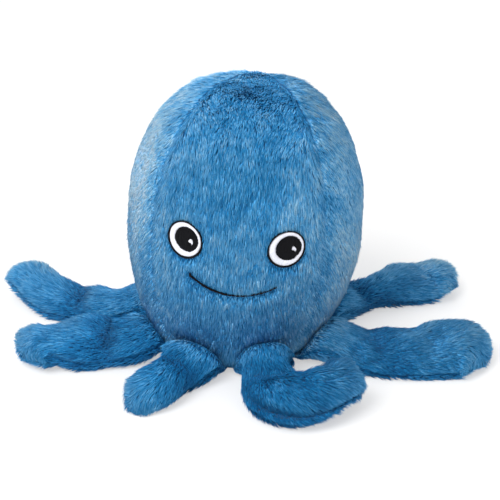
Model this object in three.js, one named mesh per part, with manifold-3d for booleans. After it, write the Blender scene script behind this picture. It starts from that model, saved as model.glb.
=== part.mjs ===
import * as THREE from 'three';
import Module from 'manifold-3d';

// A plush octopus that sits on its flat base. Lengths are in millimetres, +Z is up, the face looks towards -Y
// and the origin is the centre of the underside of the base.

// The head: a round bag of four gores, sewn to each other from the crown down and closed by a flat base.
const headWidth = 156;
const headHeight = 184;
const headWaistHeight = 95;
const headUpperFullness = 2.75;
const headLowerFullness = 2.3;
const crownShift = 10.5;
const crownHoleRadius = 1.2;
const crownSetback = 44;
const goreCount = 4;
const goreThickness = 2.4;
const seamDepth = 1.6;
const seamValleyWidth = 9;
const baseThickness = 2.2;
const faceTurn = THREE.MathUtils.degToRad(-5.5);

// The ring where the gores, the arms and the base are sewn together.
const ringRadius = 52;

// The arms: flat bags of an upper and a lower cover, with a little filling.
const armCount = 8;
const armLength = 132;
const armWidth = 42;
const armThickness = 15;
const armRootThickness = 4.4;
const armCoverThickness = 2;
const armTipLength = 19;
const armSwellLength = 24;
const armFillLength = 34;
const armSideGap = 0.6;
const armFloorGap = 0.2;

// The embroidered face.
const eyeRadius = 12.9;
const eyeOutlineWidth = 1.1;
const pupilRadius = 8.5;
const pupilShiftAcross = 1.3;
const pupilShiftUp = 0.5;
const highlightRadius = 1.9;
const highlightShiftAcross = 3.2;
const highlightShiftUp = -1.6;
const eyeHeight = 103.9;
const eyeSpacing = 66.8;
const smileHeight = 78.6;
const smileWidth = 57;
const smileSag = 8;
const smileTilt = THREE.MathUtils.degToRad(3.2);
const smileThreadWidth = 1.7;
const embroideryThickness = 1.1;

// Clearances: between pieces that touch, between sewn edges, and under the embroidery.
const fitGap = 0.3;
const ringGap = 0.5;
const seamGap = 0.4;
const embroideryGap = 0.35;

// Counts of facets.
const goreColumns = 8;
const goreRows = 13;
const armColumns = 5;
const routeSteps = 60;
const eyeColumns = 20;
const highlightColumns = 10;
const smileSteps = 16;
const baseSides = 40;

// Each arm is sewn to the same pattern and lies in its own curve. The tables give, at six stations evenly
// spaced from the root to the tip, the turn and the roll as shares of a right angle, the lift off the floor
// as shares of the arm's width, the gathering of the width, and the fullness of the thickness. The reach is
// the share of the length that the folds leave. No arm turns in a curve so tight that its inner edge would
// cross itself.
const armPoses = [
  {
    name: 'front_right_arm', reachShare: 0.91,
    turnShares: [0, -0.16, 0.03, 0.64, 1.26, 1.5], rollShares: [0, 0.1, 0.23, 0.36, 0.6, 0.72],
    liftShares: [0, 0, 0.01, 0.04, 0.17, 0.15], gatherShares: [1, 0.79, 0.92, 0.9, 0.69, 0.75],
    fullShares: [1.6, 1.55, 1.4, 1.35, 1.55, 1.55],
  },
  {
    name: 'right_front_arm', reachShare: 0.95,
    turnShares: [0, 0.09, 0.15, 0.3, 0.31, -0.06], rollShares: [0, -0.05, 0.1, 0.12, 0.19, 0.09],
    liftShares: [0, 0, 0, 0, 0.01, 0.1], gatherShares: [1, 0.98, 1.09, 1.13, 1.15, 1.11],
    fullShares: [1.7, 1.24, 1.04, 1.07, 1.28, 1.17],
  },
  {
    name: 'right_back_arm', reachShare: 0.9,
    turnShares: [0, 0.12, 0.14, 0.08, 0.02, -0.26], rollShares: [0, 0.14, 0.18, 0.26, 0.14, 0.06],
    liftShares: [0, 0, 0.06, 0.04, 0.04, 0.16], gatherShares: [0.9, 0.7, 0.55, 0.77, 0.89, 0.81],
    fullShares: [1.6, 1.22, 1.04, 1.16, 1.06, 1.21],
  },
  {
    name: 'back_right_arm', reachShare: 0.92,
    turnShares: [0, 0.15, 0.25, 0.32, 0.35, 0.37], rollShares: [0, 0, 0, 0, 0, 0],
    liftShares: [0, 0, 0, 0, 0, 0], gatherShares: [1, 1, 1, 1, 1, 1],
    fullShares: [1.6, 1.45, 1.2, 1.1, 1.2, 1.2],
  },
  {
    name: 'back_left_arm', reachShare: 0.9,
    turnShares: [0, 0.03, 0.05, 0.02, -0.06, -0.1], rollShares: [0, 0, 0, -0.06, -0.1, -0.1],
    liftShares: [0, 0, 0, 0, 0, 0], gatherShares: [1, 1, 0.96, 1, 1, 1],
    fullShares: [1.6, 1.45, 1.2, 1.1, 1.2, 1.2],
  },
  {
    name: 'left_back_arm', reachShare: 1,
    turnShares: [0, 0.42, 0.25, 0.08, -0.22, -0.01], rollShares: [0, 0.06, -0.05, -0.07, 0.03, 0.09],
    liftShares: [0, 0, 0, 0, 0.08, 0.19], gatherShares: [1, 0.92, 0.92, 0.91, 0.82, 0.79],
    fullShares: [1.7, 1.13, 1.01, 0.99, 1.18, 1.22],
  },
  {
    name: 'left_front_arm', reachShare: 0.77,
    turnShares: [0, 0.18, -0.06, -0.13, -0.06, 0.2], rollShares: [0, 0, -0.12, -0.12, 0.03, -0.07],
    liftShares: [0, 0, 0, 0, 0, 0.12], gatherShares: [1, 1.08, 1.06, 1.08, 0.98, 1.15],
    fullShares: [1.7, 1.19, 1.37, 1.37, 1.42, 1.33],
  },
  {
    name: 'front_left_arm', reachShare: 0.57,
    turnShares: [0, 0.05, -0.08, -0.04, -0.32, -0.25], rollShares: [0, -0.08, -0.3, -0.52, -0.49, -0.36],
    liftShares: [0, 0, 0, 0.02, 0, 0.02], gatherShares: [1, 0.96, 0.73, 0.67, 0.69, 0.75],
    fullShares: [1.6, 1.45, 1.35, 1.2, 1.2, 1.25],
  },
];
const stationShares = [0.08, 0.18, 0.3, 0.43, 0.57, 0.72, 0.86, 1];
const tipStationShares = [0.5, 0.82, 0.97];
const rootCurveShares = [0.97, 0.7];
const pressedShare = 0.45;
const filledShare = 0.27;

const quarterTurn = Math.PI / 2;
const headRadius = headWidth / 2;
const upperReach = headHeight - headWaistHeight;
const hingeHeight = baseThickness + fitGap + armRootThickness / 2;
const ringHeight = hingeHeight + armRootThickness / 2 + ringGap;
const ringAngle = Math.acos((ringRadius / headRadius) ** (headLowerFullness / 2));
const lowerReach = (headWaistHeight - ringHeight) / Math.sin(ringAngle) ** (2 / headLowerFullness);
const goreAngle = 2 * Math.PI / goreCount;
const baseRadius = ringRadius - armRootThickness / 2;

const wasm = await Module();
wasm.setup();

const plushTop = new THREE.MeshStandardMaterial({ color: 0x3a7db0, roughness: 0.95, metalness: 0 });
const plushSide = new THREE.MeshStandardMaterial({ color: 0x6ba0c8, roughness: 0.95, metalness: 0 });
const plushArm = new THREE.MeshStandardMaterial({ color: 0x2c6c9e, roughness: 0.95, metalness: 0 });
const plushUnder = new THREE.MeshStandardMaterial({ color: 0x1f5a8a, roughness: 0.95, metalness: 0 });
const fibre = new THREE.MeshStandardMaterial({ color: 0xf2f0ea, roughness: 1, metalness: 0 });
const blackThread = new THREE.MeshStandardMaterial({ color: 0x0b0c10, roughness: 0.55, metalness: 0 });
const whiteThread = new THREE.MeshStandardMaterial({ color: 0xf3f4fa, roughness: 0.5, metalness: 0 });

const octopus = new THREE.Group();

function addMesh(name, geometry, material) {
  const mesh = new THREE.Mesh(geometry, material);
  mesh.name = name;
  octopus.add(mesh);
  return mesh;
}

// A closed body from loops of points that all have the same number of points. Each loop's first half faces
// its second half, taken backwards, which is how the two ends are closed. A ring joins its last loop to its
// first one.
function loft(loops, isRing = false) {
  const size = loops[0].length;
  const indices = [];
  const quad = (a, b, c, d) => indices.push(a, b, c, a, c, d);
  const spans = isRing ? loops.length : loops.length - 1;
  for (let i = 0; i < spans; i += 1) {
    const next = (i + 1) % loops.length;
    for (let j = 0; j < size; j += 1) {
      const k = (j + 1) % size;
      quad(i * size + j, i * size + k, next * size + k, next * size + j);
    }
  }
  const last = (loops.length - 1) * size;
  for (let j = 0; !isRing && j < size / 2 - 1; j += 1) {
    quad(size - 1 - j, size - 2 - j, j + 1, j);
    quad(last + j, last + j + 1, last + size - 2 - j, last + size - 1 - j);
  }
  const geometry = new THREE.BufferGeometry();
  const positions = loops.flat().flatMap((point) => point.toArray());
  geometry.setAttribute('position', new THREE.Float32BufferAttribute(positions, 3));
  geometry.setIndex(signedVolume(loops.flat(), indices) < 0 ? indices.reverse() : indices);
  return geometry;
}

function signedVolume(points, indices) {
  let volume = 0;
  for (let i = 0; i < indices.length; i += 3) {
    const [a, b, c] = indices.slice(i, i + 3).map((index) => points[index]);
    volume += a.dot(b.clone().cross(c));
  }
  return volume;
}

function toSolid(geometry) {
  const vertProperties = Float32Array.from(geometry.getAttribute('position').array);
  const triVerts = Uint32Array.from(geometry.getIndex().array);
  return new wasm.Manifold(new wasm.Mesh({ numProp: 3, vertProperties, triVerts }));
}

function cutBy(geometry, tool) {
  const mesh = toSolid(geometry).subtract(tool).getMesh();
  const cut = new THREE.BufferGeometry();
  cut.setAttribute('position', new THREE.Float32BufferAttribute(mesh.vertProperties, 3));
  cut.setIndex(Array.from(mesh.triVerts));
  return cut;
}

// A value read from a table of shares at a place from 0 to 1 along it.
function spread(shares, place) {
  const points = shares.map((share, index) => new THREE.Vector2(index, share));
  return new THREE.SplineCurve(points).getPoint(place).y;
}

// How much of the seam's valley is left at a point: 1 on a seam between two gores, 0 on the flat of a gore.
function valleyAt(azimuth, radius) {
  const half = goreAngle / 2;
  const across = Math.abs(THREE.MathUtils.euclideanModulo(azimuth, goreAngle) - half) * radius;
  return (1 - Math.min(1, across / seamValleyWidth)) ** 2;
}

// A point of the head. The azimuth is 0 at the face, the latitude is 0 at the waist and a right angle where
// the gores meet, which is behind the top of the head, and the inset is the depth below the outside.
function headPoint(azimuth, latitude, inset = 0, crownMove = crownSetback) {
  const isUpper = latitude >= 0;
  const fullness = isUpper ? headUpperFullness : headLowerFullness;
  const share = Math.cos(latitude) ** (2 / fullness);
  const sunk = inset + seamDepth * valleyAt(azimuth, headRadius * share) * Math.cos(latitude);
  const widest = headRadius - sunk;
  const radius = widest * share;
  const setback = isUpper ? crownMove * (1 - share) : 0;
  const point = new THREE.Vector3(radius * Math.sin(azimuth), setback - radius * Math.cos(azimuth), 0);
  const level = Math.acos(Math.min(1, point.length() / widest) ** (fullness / 2));
  const reach = (isUpper ? upperReach : lowerReach) - sunk;
  const height = headWaistHeight + Math.sign(latitude) * reach * Math.sin(level) ** (2 / fullness);
  point.applyAxisAngle(new THREE.Vector3(0, 0, 1), faceTurn);
  const leanSlope = crownShift / (headHeight - ringHeight);
  const tilted = leanSlope * point.x * THREE.MathUtils.smoothstep(height, ringHeight, headWaistHeight);
  point.x += leanSlope * (height - ringHeight);
  point.z = height - tilted;
  return point;
}

function latitudeAtRadius(radius) {
  return Math.acos((radius / headRadius) ** (headUpperFullness / 2));
}

function latitudeAtHeight(height) {
  const isUpper = height >= headWaistHeight;
  const power = (isUpper ? headUpperFullness : headLowerFullness) / 2;
  const share = Math.abs(height - headWaistHeight) / (isUpper ? upperReach : lowerReach);
  return (isUpper ? 1 : -1) * Math.asin(share ** power);
}

// One row of a gore: the outside from seam to seam, then the inside back again. Both edges keep half of the
// sewing gap from the middle of the seam.
function goreRow(middle, latitude) {
  const power = 2 / (latitude >= 0 ? headUpperFullness : headLowerFullness);
  const radius = (headRadius - goreThickness) * Math.cos(latitude) ** power;
  const half = goreAngle / 2 - Math.asin(Math.min(1, seamGap / 2 / radius));
  const outside = [];
  const inside = [];
  for (let column = 0; column <= goreColumns; column += 1) {
    const azimuth = middle + half * (2 * column / goreColumns - 1);
    outside.push(headPoint(azimuth, latitude));
    inside.unshift(headPoint(azimuth, latitude, goreThickness));
  }
  return [...outside, ...inside];
}

function goreGeometry(middle) {
  const crown = latitudeAtRadius(crownHoleRadius);
  const rows = [];
  for (let row = 0; row <= goreRows; row += 1) {
    rows.push(goreRow(middle, THREE.MathUtils.lerp(-ringAngle, crown, row / goreRows)));
  }
  return loft(rows);
}

// A round of the head at one latitude, as a closed loop with its points behind those of the gores.
function headRound(latitude, inset) {
  const round = [];
  const columns = goreCount * goreColumns;
  for (let column = 0; column < columns; column += 1) {
    round.push(headPoint(goreAngle * (column / goreColumns - 1 / 2), latitude, inset));
  }
  return round;
}

// A solid head, from its flat round underside up to the crown.
function headBody(inset, undersideHeight, undersideRadius) {
  const crown = latitudeAtRadius(crownHoleRadius);
  const underside = headRound(-ringAngle, inset).map((point) => {
    return point.setZ(0).setLength(undersideRadius).setZ(undersideHeight);
  });
  const rounds = [underside];
  for (let row = 0; row <= goreRows; row += 1) {
    rounds.push(headRound(THREE.MathUtils.lerp(-ringAngle, crown, row / goreRows), inset));
  }
  return loft(rounds);
}

// Head
const goreNames = ['head_front_panel', 'head_right_panel', 'head_back_panel', 'head_left_panel'];
const goreMaterials = [plushTop, plushSide, plushTop, plushSide];
goreNames.forEach((name, index) => {
  addMesh(name, goreGeometry(index * goreAngle), goreMaterials[index]);
});
const stuffingInset = goreThickness + fitGap;
addMesh('head_stuffing', headBody(stuffingInset, baseThickness + fitGap, baseRadius - 2 * fitGap), fibre);

const base = addMesh(
  'head_base_panel',
  new THREE.CylinderGeometry(baseRadius, baseRadius, baseThickness, baseSides),
  plushUnder,
);
base.rotation.x = quarterTurn;
base.position.z = baseThickness / 2;

// The space that the head takes, with its clearance, which no arm enters.
const headSpace = toSolid(headBody(-fitGap, ringHeight - fitGap, ringRadius));

// The width and the thickness of an arm at a distance from its root. The tip is a round end, and the root is
// pressed thin where it is sewn in.
function tipCurve(distance, length) {
  const past = Math.max(0, distance - (length - armTipLength)) / armTipLength;
  return Math.sqrt(Math.max(0, 1 - past ** 2));
}

function armHalfWidth(pose, distance, length) {
  const rootHalf = ringRadius * Math.tan(Math.PI / armCount) - armSideGap;
  const blend = THREE.MathUtils.smoothstep(distance, 0, armSwellLength);
  const gather = spread(pose.gatherShares, THREE.MathUtils.clamp(distance / length, 0, 1));
  return THREE.MathUtils.lerp(rootHalf, armWidth / 2 * gather, blend) * tipCurve(distance, length);
}

function armHalfThickness(pose, distance, length) {
  const blend = THREE.MathUtils.smoothstep(distance, 0, armFillLength);
  const full = armThickness * spread(pose.fullShares, THREE.MathUtils.clamp(distance / length, 0, 1));
  const half = THREE.MathUtils.lerp(armRootThickness, full, blend) / 2;
  const rootCurve = Math.sqrt(Math.max(0, 1 - Math.min(0, 2 * distance / armRootThickness) ** 2));
  return half * tipCurve(distance, length) * rootCurve;
}

// The plan of an arm's middle line, walked in small equal steps from the root, so that the arm keeps its
// length however it turns.
function armRoute(pose, azimuth) {
  const outward = new THREE.Vector3(Math.sin(azimuth), -Math.cos(azimuth), 0);
  const leftward = new THREE.Vector3(Math.cos(azimuth), Math.sin(azimuth), 0);
  const stride = armLength * pose.reachShare / routeSteps;
  const place = outward.clone().multiplyScalar(ringRadius);
  const places = [place.clone()];
  const headings = [outward];
  for (let step = 1; step <= routeSteps; step += 1) {
    const turn = spread(pose.turnShares, step / routeSteps) * quarterTurn;
    const heading = outward.clone().multiplyScalar(Math.cos(turn)).addScaledVector(leftward, Math.sin(turn));
    place.addScaledVector(heading.clone().add(headings.at(-1)).normalize(), stride);
    places.push(place.clone());
    headings.push(heading);
  }
  return { places, headings };
}

// The arm at a distance from its root: a point of the middle line, and the directions across the flat arm and
// out of it. The root lies in the sewn ring, and the rest lies on the floor with its own roll and lift.
function armFrame(pose, route, distance) {
  const length = armLength * pose.reachShare;
  const share = Math.max(0, distance / length);
  const step = Math.min(routeSteps - 1, Math.floor(share * routeSteps));
  const part = share * routeSteps - step;
  const heading = route.headings[step].clone().lerp(route.headings[step + 1], part).normalize();
  const point = route.places[step].clone().lerp(route.places[step + 1], part);
  point.addScaledVector(heading, Math.min(0, distance));
  const roll = spread(pose.rollShares, share) * quarterTurn;
  const across = new THREE.Vector3(0, 0, 1).cross(heading).applyAxisAngle(heading, roll);
  const out = heading.clone().cross(across);
  const halfWidth = armHalfWidth(pose, Math.max(0, distance), length);
  const halfThickness = armHalfThickness(pose, distance, length);
  const standing = Math.hypot(halfWidth * across.z, halfThickness * out.z);
  const lowest = armFloorGap + standing;
  const resting = lowest + spread(pose.liftShares, share) * armWidth;
  const settled = THREE.MathUtils.smoothstep(distance, 0, armFillLength);
  point.z = Math.max(lowest, THREE.MathUtils.lerp(hingeHeight, resting, settled));
  return { point, across, out, halfWidth, halfThickness };
}

// What is left of a half width or a half thickness inside the cover. Where the arm is pressed thin, its cover
// is pressed thin with it.
function insideCover(half) {
  return Math.max(half - armCoverThickness, half * pressedShare);
}

// Half of a flat oval section, above or below the sewn edge.
function halfSection(frame, side, halfWidth, halfThickness, edgeGap) {
  const edge = Math.asin(Math.min(1, edgeGap / halfThickness));
  const points = [];
  for (let column = 0; column <= armColumns; column += 1) {
    const angle = THREE.MathUtils.lerp(edge, Math.PI - edge, column / armColumns);
    const point = frame.point.clone().addScaledVector(frame.across, halfWidth * Math.cos(angle));
    points.push(point.addScaledVector(frame.out, side * halfThickness * Math.sin(angle)));
  }
  return points;
}

function coverGeometry(frames, side) {
  const loops = frames.map((frame) => {
    const { halfWidth, halfThickness } = frame;
    const inWidth = insideCover(halfWidth);
    const inThickness = insideCover(halfThickness);
    const outside = halfSection(frame, side, halfWidth, halfThickness, seamGap / 2);
    const inside = halfSection(frame, side, inWidth, inThickness, seamGap / 2);
    const loop = [...outside, ...inside.reverse()];
    return side > 0 ? loop : loop.reverse();
  });
  return cutBy(loft(loops), headSpace);
}

function fillingGeometry(frames) {
  const loops = frames.map((frame) => {
    const width = insideCover(frame.halfWidth) - fitGap;
    const thickness = insideCover(frame.halfThickness) - fitGap;
    const top = halfSection(frame, 1, width, thickness, seamGap / 2);
    const bottom = halfSection(frame, -1, width, thickness, seamGap / 2);
    return [...top.reverse(), ...bottom];
  });
  return loft(loops);
}

// Arms
armPoses.forEach((pose, index) => {
  const azimuth = faceTurn + (index + 1 / 2) * 2 * Math.PI / armCount;
  const route = armRoute(pose, azimuth);
  const straightLength = armLength * pose.reachShare - armTipLength;
  const distances = [
    ...rootCurveShares.map((share) => -share * armRootThickness / 2),
    0,
    ...stationShares.map((share) => share * straightLength),
    ...tipStationShares.map((share) => straightLength + share * armTipLength),
  ];
  const frames = distances.map((distance) => armFrame(pose, route, distance));
  addMesh(`${pose.name}_upper_cover`, coverGeometry(frames, 1), plushArm);
  addMesh(`${pose.name}_lower_cover`, coverGeometry(frames, -1), plushUnder);
  const filledFrames = frames.filter((frame) => frame.halfThickness > armThickness * filledShare);
  addMesh(`${pose.name}_filling`, fillingGeometry(filledFrames), fibre);
});

// A point on the face, or above it, from its distance across the face and its height from the floor.
function facePoint(across, height, above) {
  const latitude = latitudeAtHeight(height);
  const power = 2 / (latitude >= 0 ? headUpperFullness : headLowerFullness);
  const radius = headRadius * Math.cos(latitude) ** power;
  return headPoint(across / radius, latitude, -above, 0);
}

const lowFace = embroideryGap;
const highFace = embroideryGap + embroideryThickness;

// A ring sewn on the face, round a hole that may lie off its centre.
function sewnRing(center, outerRadius, holeCenter, holeRadius) {
  const loops = [];
  for (let column = 0; column < eyeColumns; column += 1) {
    const angle = 2 * Math.PI * column / eyeColumns;
    const way = new THREE.Vector2(Math.cos(angle), Math.sin(angle));
    const outer = center.clone().addScaledVector(way, outerRadius);
    const inner = holeCenter.clone().addScaledVector(way, holeRadius);
    loops.push([
      facePoint(outer.x, outer.y, lowFace),
      facePoint(outer.x, outer.y, highFace),
      facePoint(inner.x, inner.y, highFace),
      facePoint(inner.x, inner.y, lowFace),
    ]);
  }
  return loft(loops, true);
}

function sewnDot(center, radius) {
  const loops = [lowFace, highFace].map((above) => {
    const loop = [];
    for (let column = 0; column < highlightColumns; column += 1) {
      const angle = 2 * Math.PI * column / highlightColumns;
      loop.push(facePoint(center.x + radius * Math.cos(angle), center.y + radius * Math.sin(angle), above));
    }
    return loop;
  });
  return loft(loops);
}

// Eyes
[['left', -1], ['right', 1]].forEach(([name, side]) => {
  const center = new THREE.Vector2(side * eyeSpacing / 2, eyeHeight);
  const pupilCenter = center.clone().add(new THREE.Vector2(pupilShiftAcross, pupilShiftUp));
  const highlightCenter = pupilCenter.clone();
  highlightCenter.add(new THREE.Vector2(highlightShiftAcross, highlightShiftUp));
  const whiteRadius = eyeRadius - eyeOutlineWidth;
  addMesh(`${name}_eye_outline`, sewnRing(center, eyeRadius, center, whiteRadius), blackThread);
  const white = sewnRing(center, whiteRadius - fitGap, pupilCenter, pupilRadius + fitGap);
  addMesh(`${name}_eye_white`, white, whiteThread);
  const pupil = sewnRing(pupilCenter, pupilRadius, highlightCenter, highlightRadius + fitGap);
  addMesh(`${name}_eye_pupil`, pupil, blackThread);
  addMesh(`${name}_eye_highlight`, sewnDot(highlightCenter, highlightRadius), whiteThread);
});

// Smile
function smileGeometry() {
  const loops = [];
  for (let step = 0; step <= smileSteps; step += 1) {
    const share = 2 * step / smileSteps - 1;
    const middle = new THREE.Vector2(share * smileWidth / 2, -smileSag * (1 - share ** 2));
    const along = new THREE.Vector2(smileWidth / 2, 2 * smileSag * share).normalize();
    const side = new THREE.Vector2(-along.y, along.x).multiplyScalar(smileThreadWidth / 2);
    const [upper, lower] = [middle.clone().add(side), middle.clone().sub(side)].map((point) => {
      return point.rotateAround(new THREE.Vector2(), -smileTilt).setY(point.y + smileHeight);
    });
    loops.push([
      facePoint(upper.x, upper.y, lowFace),
      facePoint(upper.x, upper.y, highFace),
      facePoint(lower.x, lower.y, highFace),
      facePoint(lower.x, lower.y, lowFace),
    ]);
  }
  return loft(loops);
}

addMesh('smile', smileGeometry(), blackThread);

export default octopus;
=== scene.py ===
import math

import bpy
import numpy as np
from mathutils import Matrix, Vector


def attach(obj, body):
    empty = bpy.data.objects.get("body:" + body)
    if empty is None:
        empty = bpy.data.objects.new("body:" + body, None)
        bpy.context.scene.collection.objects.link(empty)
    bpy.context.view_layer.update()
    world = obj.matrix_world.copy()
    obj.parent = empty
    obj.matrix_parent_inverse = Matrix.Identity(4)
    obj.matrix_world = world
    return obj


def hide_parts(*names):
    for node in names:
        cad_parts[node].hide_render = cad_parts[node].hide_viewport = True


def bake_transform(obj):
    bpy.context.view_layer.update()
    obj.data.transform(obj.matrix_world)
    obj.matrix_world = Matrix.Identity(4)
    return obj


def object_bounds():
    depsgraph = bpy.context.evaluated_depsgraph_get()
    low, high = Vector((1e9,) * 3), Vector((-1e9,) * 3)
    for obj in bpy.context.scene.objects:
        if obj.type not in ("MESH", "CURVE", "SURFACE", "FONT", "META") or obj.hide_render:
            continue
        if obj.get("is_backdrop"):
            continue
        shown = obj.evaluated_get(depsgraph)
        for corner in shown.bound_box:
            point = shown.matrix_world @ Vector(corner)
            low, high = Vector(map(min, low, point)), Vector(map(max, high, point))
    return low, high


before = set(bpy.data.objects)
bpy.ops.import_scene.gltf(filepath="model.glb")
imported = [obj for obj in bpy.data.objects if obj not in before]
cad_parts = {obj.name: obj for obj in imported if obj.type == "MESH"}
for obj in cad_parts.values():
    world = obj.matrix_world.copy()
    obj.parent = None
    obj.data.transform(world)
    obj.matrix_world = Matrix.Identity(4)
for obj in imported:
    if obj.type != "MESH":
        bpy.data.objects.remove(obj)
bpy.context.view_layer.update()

# Camera. It stands in front of the octopus, looks a little down on it and has a long lens, so that the toy
# keeps its true proportions.
view_centre = Vector((0.0082, -0.0118, 0.0707))
view_elevation = math.radians(25)
view_distance = 1.1
photo_width = 500
pixels_per_metre = 1000 / 0.68
sensor_width = 36.0


def add_object(name, data):
    thing = bpy.data.objects.new(name, data)
    bpy.context.scene.collection.objects.link(thing)
    return thing


def aim(thing, place, target):
    """Puts a camera or a lamp at a place and turns it to what it looks at."""
    thing.location = place
    thing.rotation_mode = "QUATERNION"
    thing.rotation_quaternion = (target - thing.location).to_track_quat("-Z", "Y")


camera_data = bpy.data.cameras.new("camera")
camera_data.sensor_width = sensor_width
camera_data.lens = sensor_width * view_distance * pixels_per_metre / photo_width
camera_data.clip_start = 0.05
camera = add_object("camera", camera_data)
level_of_eye = Vector((0.0055, 0.0, 0.096))
backwards = Vector((0.0, -math.cos(view_elevation), math.sin(view_elevation)))
aim(camera, level_of_eye + view_distance * backwards, view_centre)
bpy.context.scene.camera = camera

# Head. A round bag of four plush gores, sewn to each other from the crown down and stuffed full of fibre.
# Each gore is cut with its nap straight down its middle, so at the seams the pile of two gores runs apart.
head_radius = 0.078
head_height = 0.184
head_waist_height = 0.095
head_upper_fullness = 2.75
head_lower_fullness = 2.3
head_lean = 0.0105
crown_setback = 0.044
gore_names = ("front", "right", "back", "left")
gore_angle = 2 * math.pi / len(gore_names)
gore_thickness = 0.0024
sewing_gap = 0.0004
seam_depth = 0.0016
seam_valley_width = 0.009
crown_hole_radius = 0.0012
shoulder_slimness = 0.0026
shoulder_start, shoulder_end = (0.1, 0.5), (0.95, 1.3)
face_turn = math.radians(-5.5)
ring_radius = 0.052
ring_height = 0.0074
ring_angle = math.acos((ring_radius / head_radius) ** (head_lower_fullness / 2))
upper_reach = head_height - head_waist_height
lower_reach = (head_waist_height - ring_height) / math.sin(ring_angle) ** (2 / head_lower_fullness)
crown_angle = math.acos((crown_hole_radius / head_radius) ** (head_upper_fullness / 2))


def ramp(value, start, end):
    share = np.clip((value - start) / (end - start), 0, 1)
    return share * share * (3 - 2 * share)


def unit(vectors):
    return vectors / np.maximum(np.linalg.norm(vectors, axis=-1, keepdims=True), 1e-12)


def head_point(azimuth, latitude, above=0.0, crown_move=crown_setback):
    """A point of the head. The azimuth is 0 at the face, and the latitude is 0 at the waist."""
    azimuth, latitude = np.broadcast_arrays(azimuth, latitude)
    is_upper = latitude >= 0
    fullness = np.where(is_upper, head_upper_fullness, head_lower_fullness)
    across = np.abs(np.mod(azimuth, gore_angle) - gore_angle / 2)
    across = across * head_radius * np.cos(latitude) ** (2 / fullness)
    valley = seam_depth * np.clip(1 - across / seam_valley_width, 0, 1) ** 2 * np.cos(latitude)
    widest = head_radius + above - valley
    reach = np.where(is_upper, upper_reach, lower_reach) + above - valley
    round_radius = widest * np.cos(latitude) ** (2 / fullness)
    x = round_radius * np.sin(azimuth)
    y = -round_radius * np.cos(azimuth) + np.where(is_upper, crown_move * (1 - round_radius / widest), 0)
    level = np.arccos(np.minimum(1, np.hypot(x, y) / widest) ** (fullness / 2))
    height = head_waist_height + np.sign(latitude) * reach * np.sin(level) ** (2 / fullness)
    x, y = x * np.cos(face_turn) - y * np.sin(face_turn), x * np.sin(face_turn) + y * np.cos(face_turn)
    slope = head_lean / (head_height - ring_height)
    sunk = slope * x * ramp(height, ring_height, head_waist_height)
    return np.stack([x + slope * (height - ring_height), y, height - sunk], -1)


def settled_point(azimuth, latitude, above=0.0):
    """A point of the cloth under its pile: the filling has settled, so the shoulders are a little slimmer."""
    slim = shoulder_slimness * ramp(latitude, *shoulder_start) * (1 - ramp(latitude, *shoulder_end))
    return head_point(azimuth, latitude, above - slim)


def evenly_spaced_latitudes(count, measured=4000):
    fine = np.linspace(-ring_angle, crown_angle, measured)
    steps = np.linalg.norm(np.diff(head_point(0.0, fine), axis=0), axis=1)
    length = np.concatenate([[0], np.cumsum(steps)])
    return np.interp(np.linspace(0, length[-1], count), length, fine)


def add_mesh(name, points, faces, material=None):
    mesh = bpy.data.meshes.new(name)
    mesh.from_pydata(np.asarray(points).reshape(-1, 3).tolist(), [], [list(map(int, f)) for f in faces])
    mesh.shade_smooth()
    piece = add_object(name, mesh)
    if material:
        mesh.materials.append(material)
    return piece


def grid_faces(rows, columns, start=0, is_turned=False, is_ring=False):
    row, column = np.meshgrid(np.arange(rows - 1), np.arange(columns - (not is_ring)), indexing="ij")
    after = (column + 1) % columns
    a, b = start + row * columns + column, start + row * columns + after
    c, d = start + (row + 1) * columns + after, start + (row + 1) * columns + column
    faces = np.stack([a, b, c, d], -1).reshape(-1, 4)
    return faces[:, ::-1] if is_turned else faces


def sheet_between(outside, inside):
    """The points and faces of a closed cloth between two grids of points. The outside's faces come first."""
    rows, columns = outside.shape[:2]
    under = rows * columns
    index = np.arange(under).reshape(rows, columns)
    rim = np.concatenate([index[0, :-1], index[:-1, -1], index[-1, :0:-1], index[:0:-1, 0]])
    after = np.roll(rim, -1)
    walls = np.stack([after, rim, rim + under, after + under], -1)
    faces = np.concatenate([
        grid_faces(rows, columns),
        grid_faces(rows, columns, under, is_turned=True),
        walls,
    ])
    return np.concatenate([outside.reshape(-1, 3), inside.reshape(-1, 3)]), faces


def set_numbers(piece, **tables):
    """Stores one number or one vector for each point of a piece's mesh, by name."""
    for name, values in tables.items():
        values = np.asarray(values, np.float32)
        kind, part = ("FLOAT_VECTOR", "vector") if values.ndim == 2 else ("FLOAT", "value")
        stored = piece.data.attributes.new(name, kind, "POINT")
        stored.data.foreach_set(part, values.ravel())


def on_outside(**tables):
    """The tables of a closed cloth's outside grid, with nothing for the points of its inside."""
    flat = {}
    for name, values in tables.items():
        values = values.reshape(-1, *values.shape[2:])
        flat[name] = np.concatenate([values, np.zeros_like(values)])
    return flat


def add_node(tree, kind, inputs=None, **settings):
    node = tree.nodes.new(kind)
    for name, value in settings.items():
        setattr(node, name, value)
    for name, value in (inputs or {}).items():
        if isinstance(value, bpy.types.NodeSocket):
            tree.links.new(value, node.inputs[name])
        else:
            node.inputs[name].default_value = value
    return node


def vector_math(tree, operation, first, second=None, scale=None):
    inputs = {0: first}
    if second is not None:
        inputs[1] = second
    if scale is not None:
        inputs["Scale"] = scale
    node = add_node(tree, "ShaderNodeVectorMath", inputs, operation=operation)
    return node.outputs["Value" if operation in ("LENGTH", "DOT_PRODUCT") else "Vector"]


def number_math(tree, operation, first, second=0.5):
    return add_node(tree, "ShaderNodeMath", {0: first, 1: second}, operation=operation).outputs[0]


def named_number(tree, name, kind="FLOAT"):
    return add_node(tree, "GeometryNodeInputNamedAttribute", {"Name": name}, data_type=kind).outputs[0]


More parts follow.
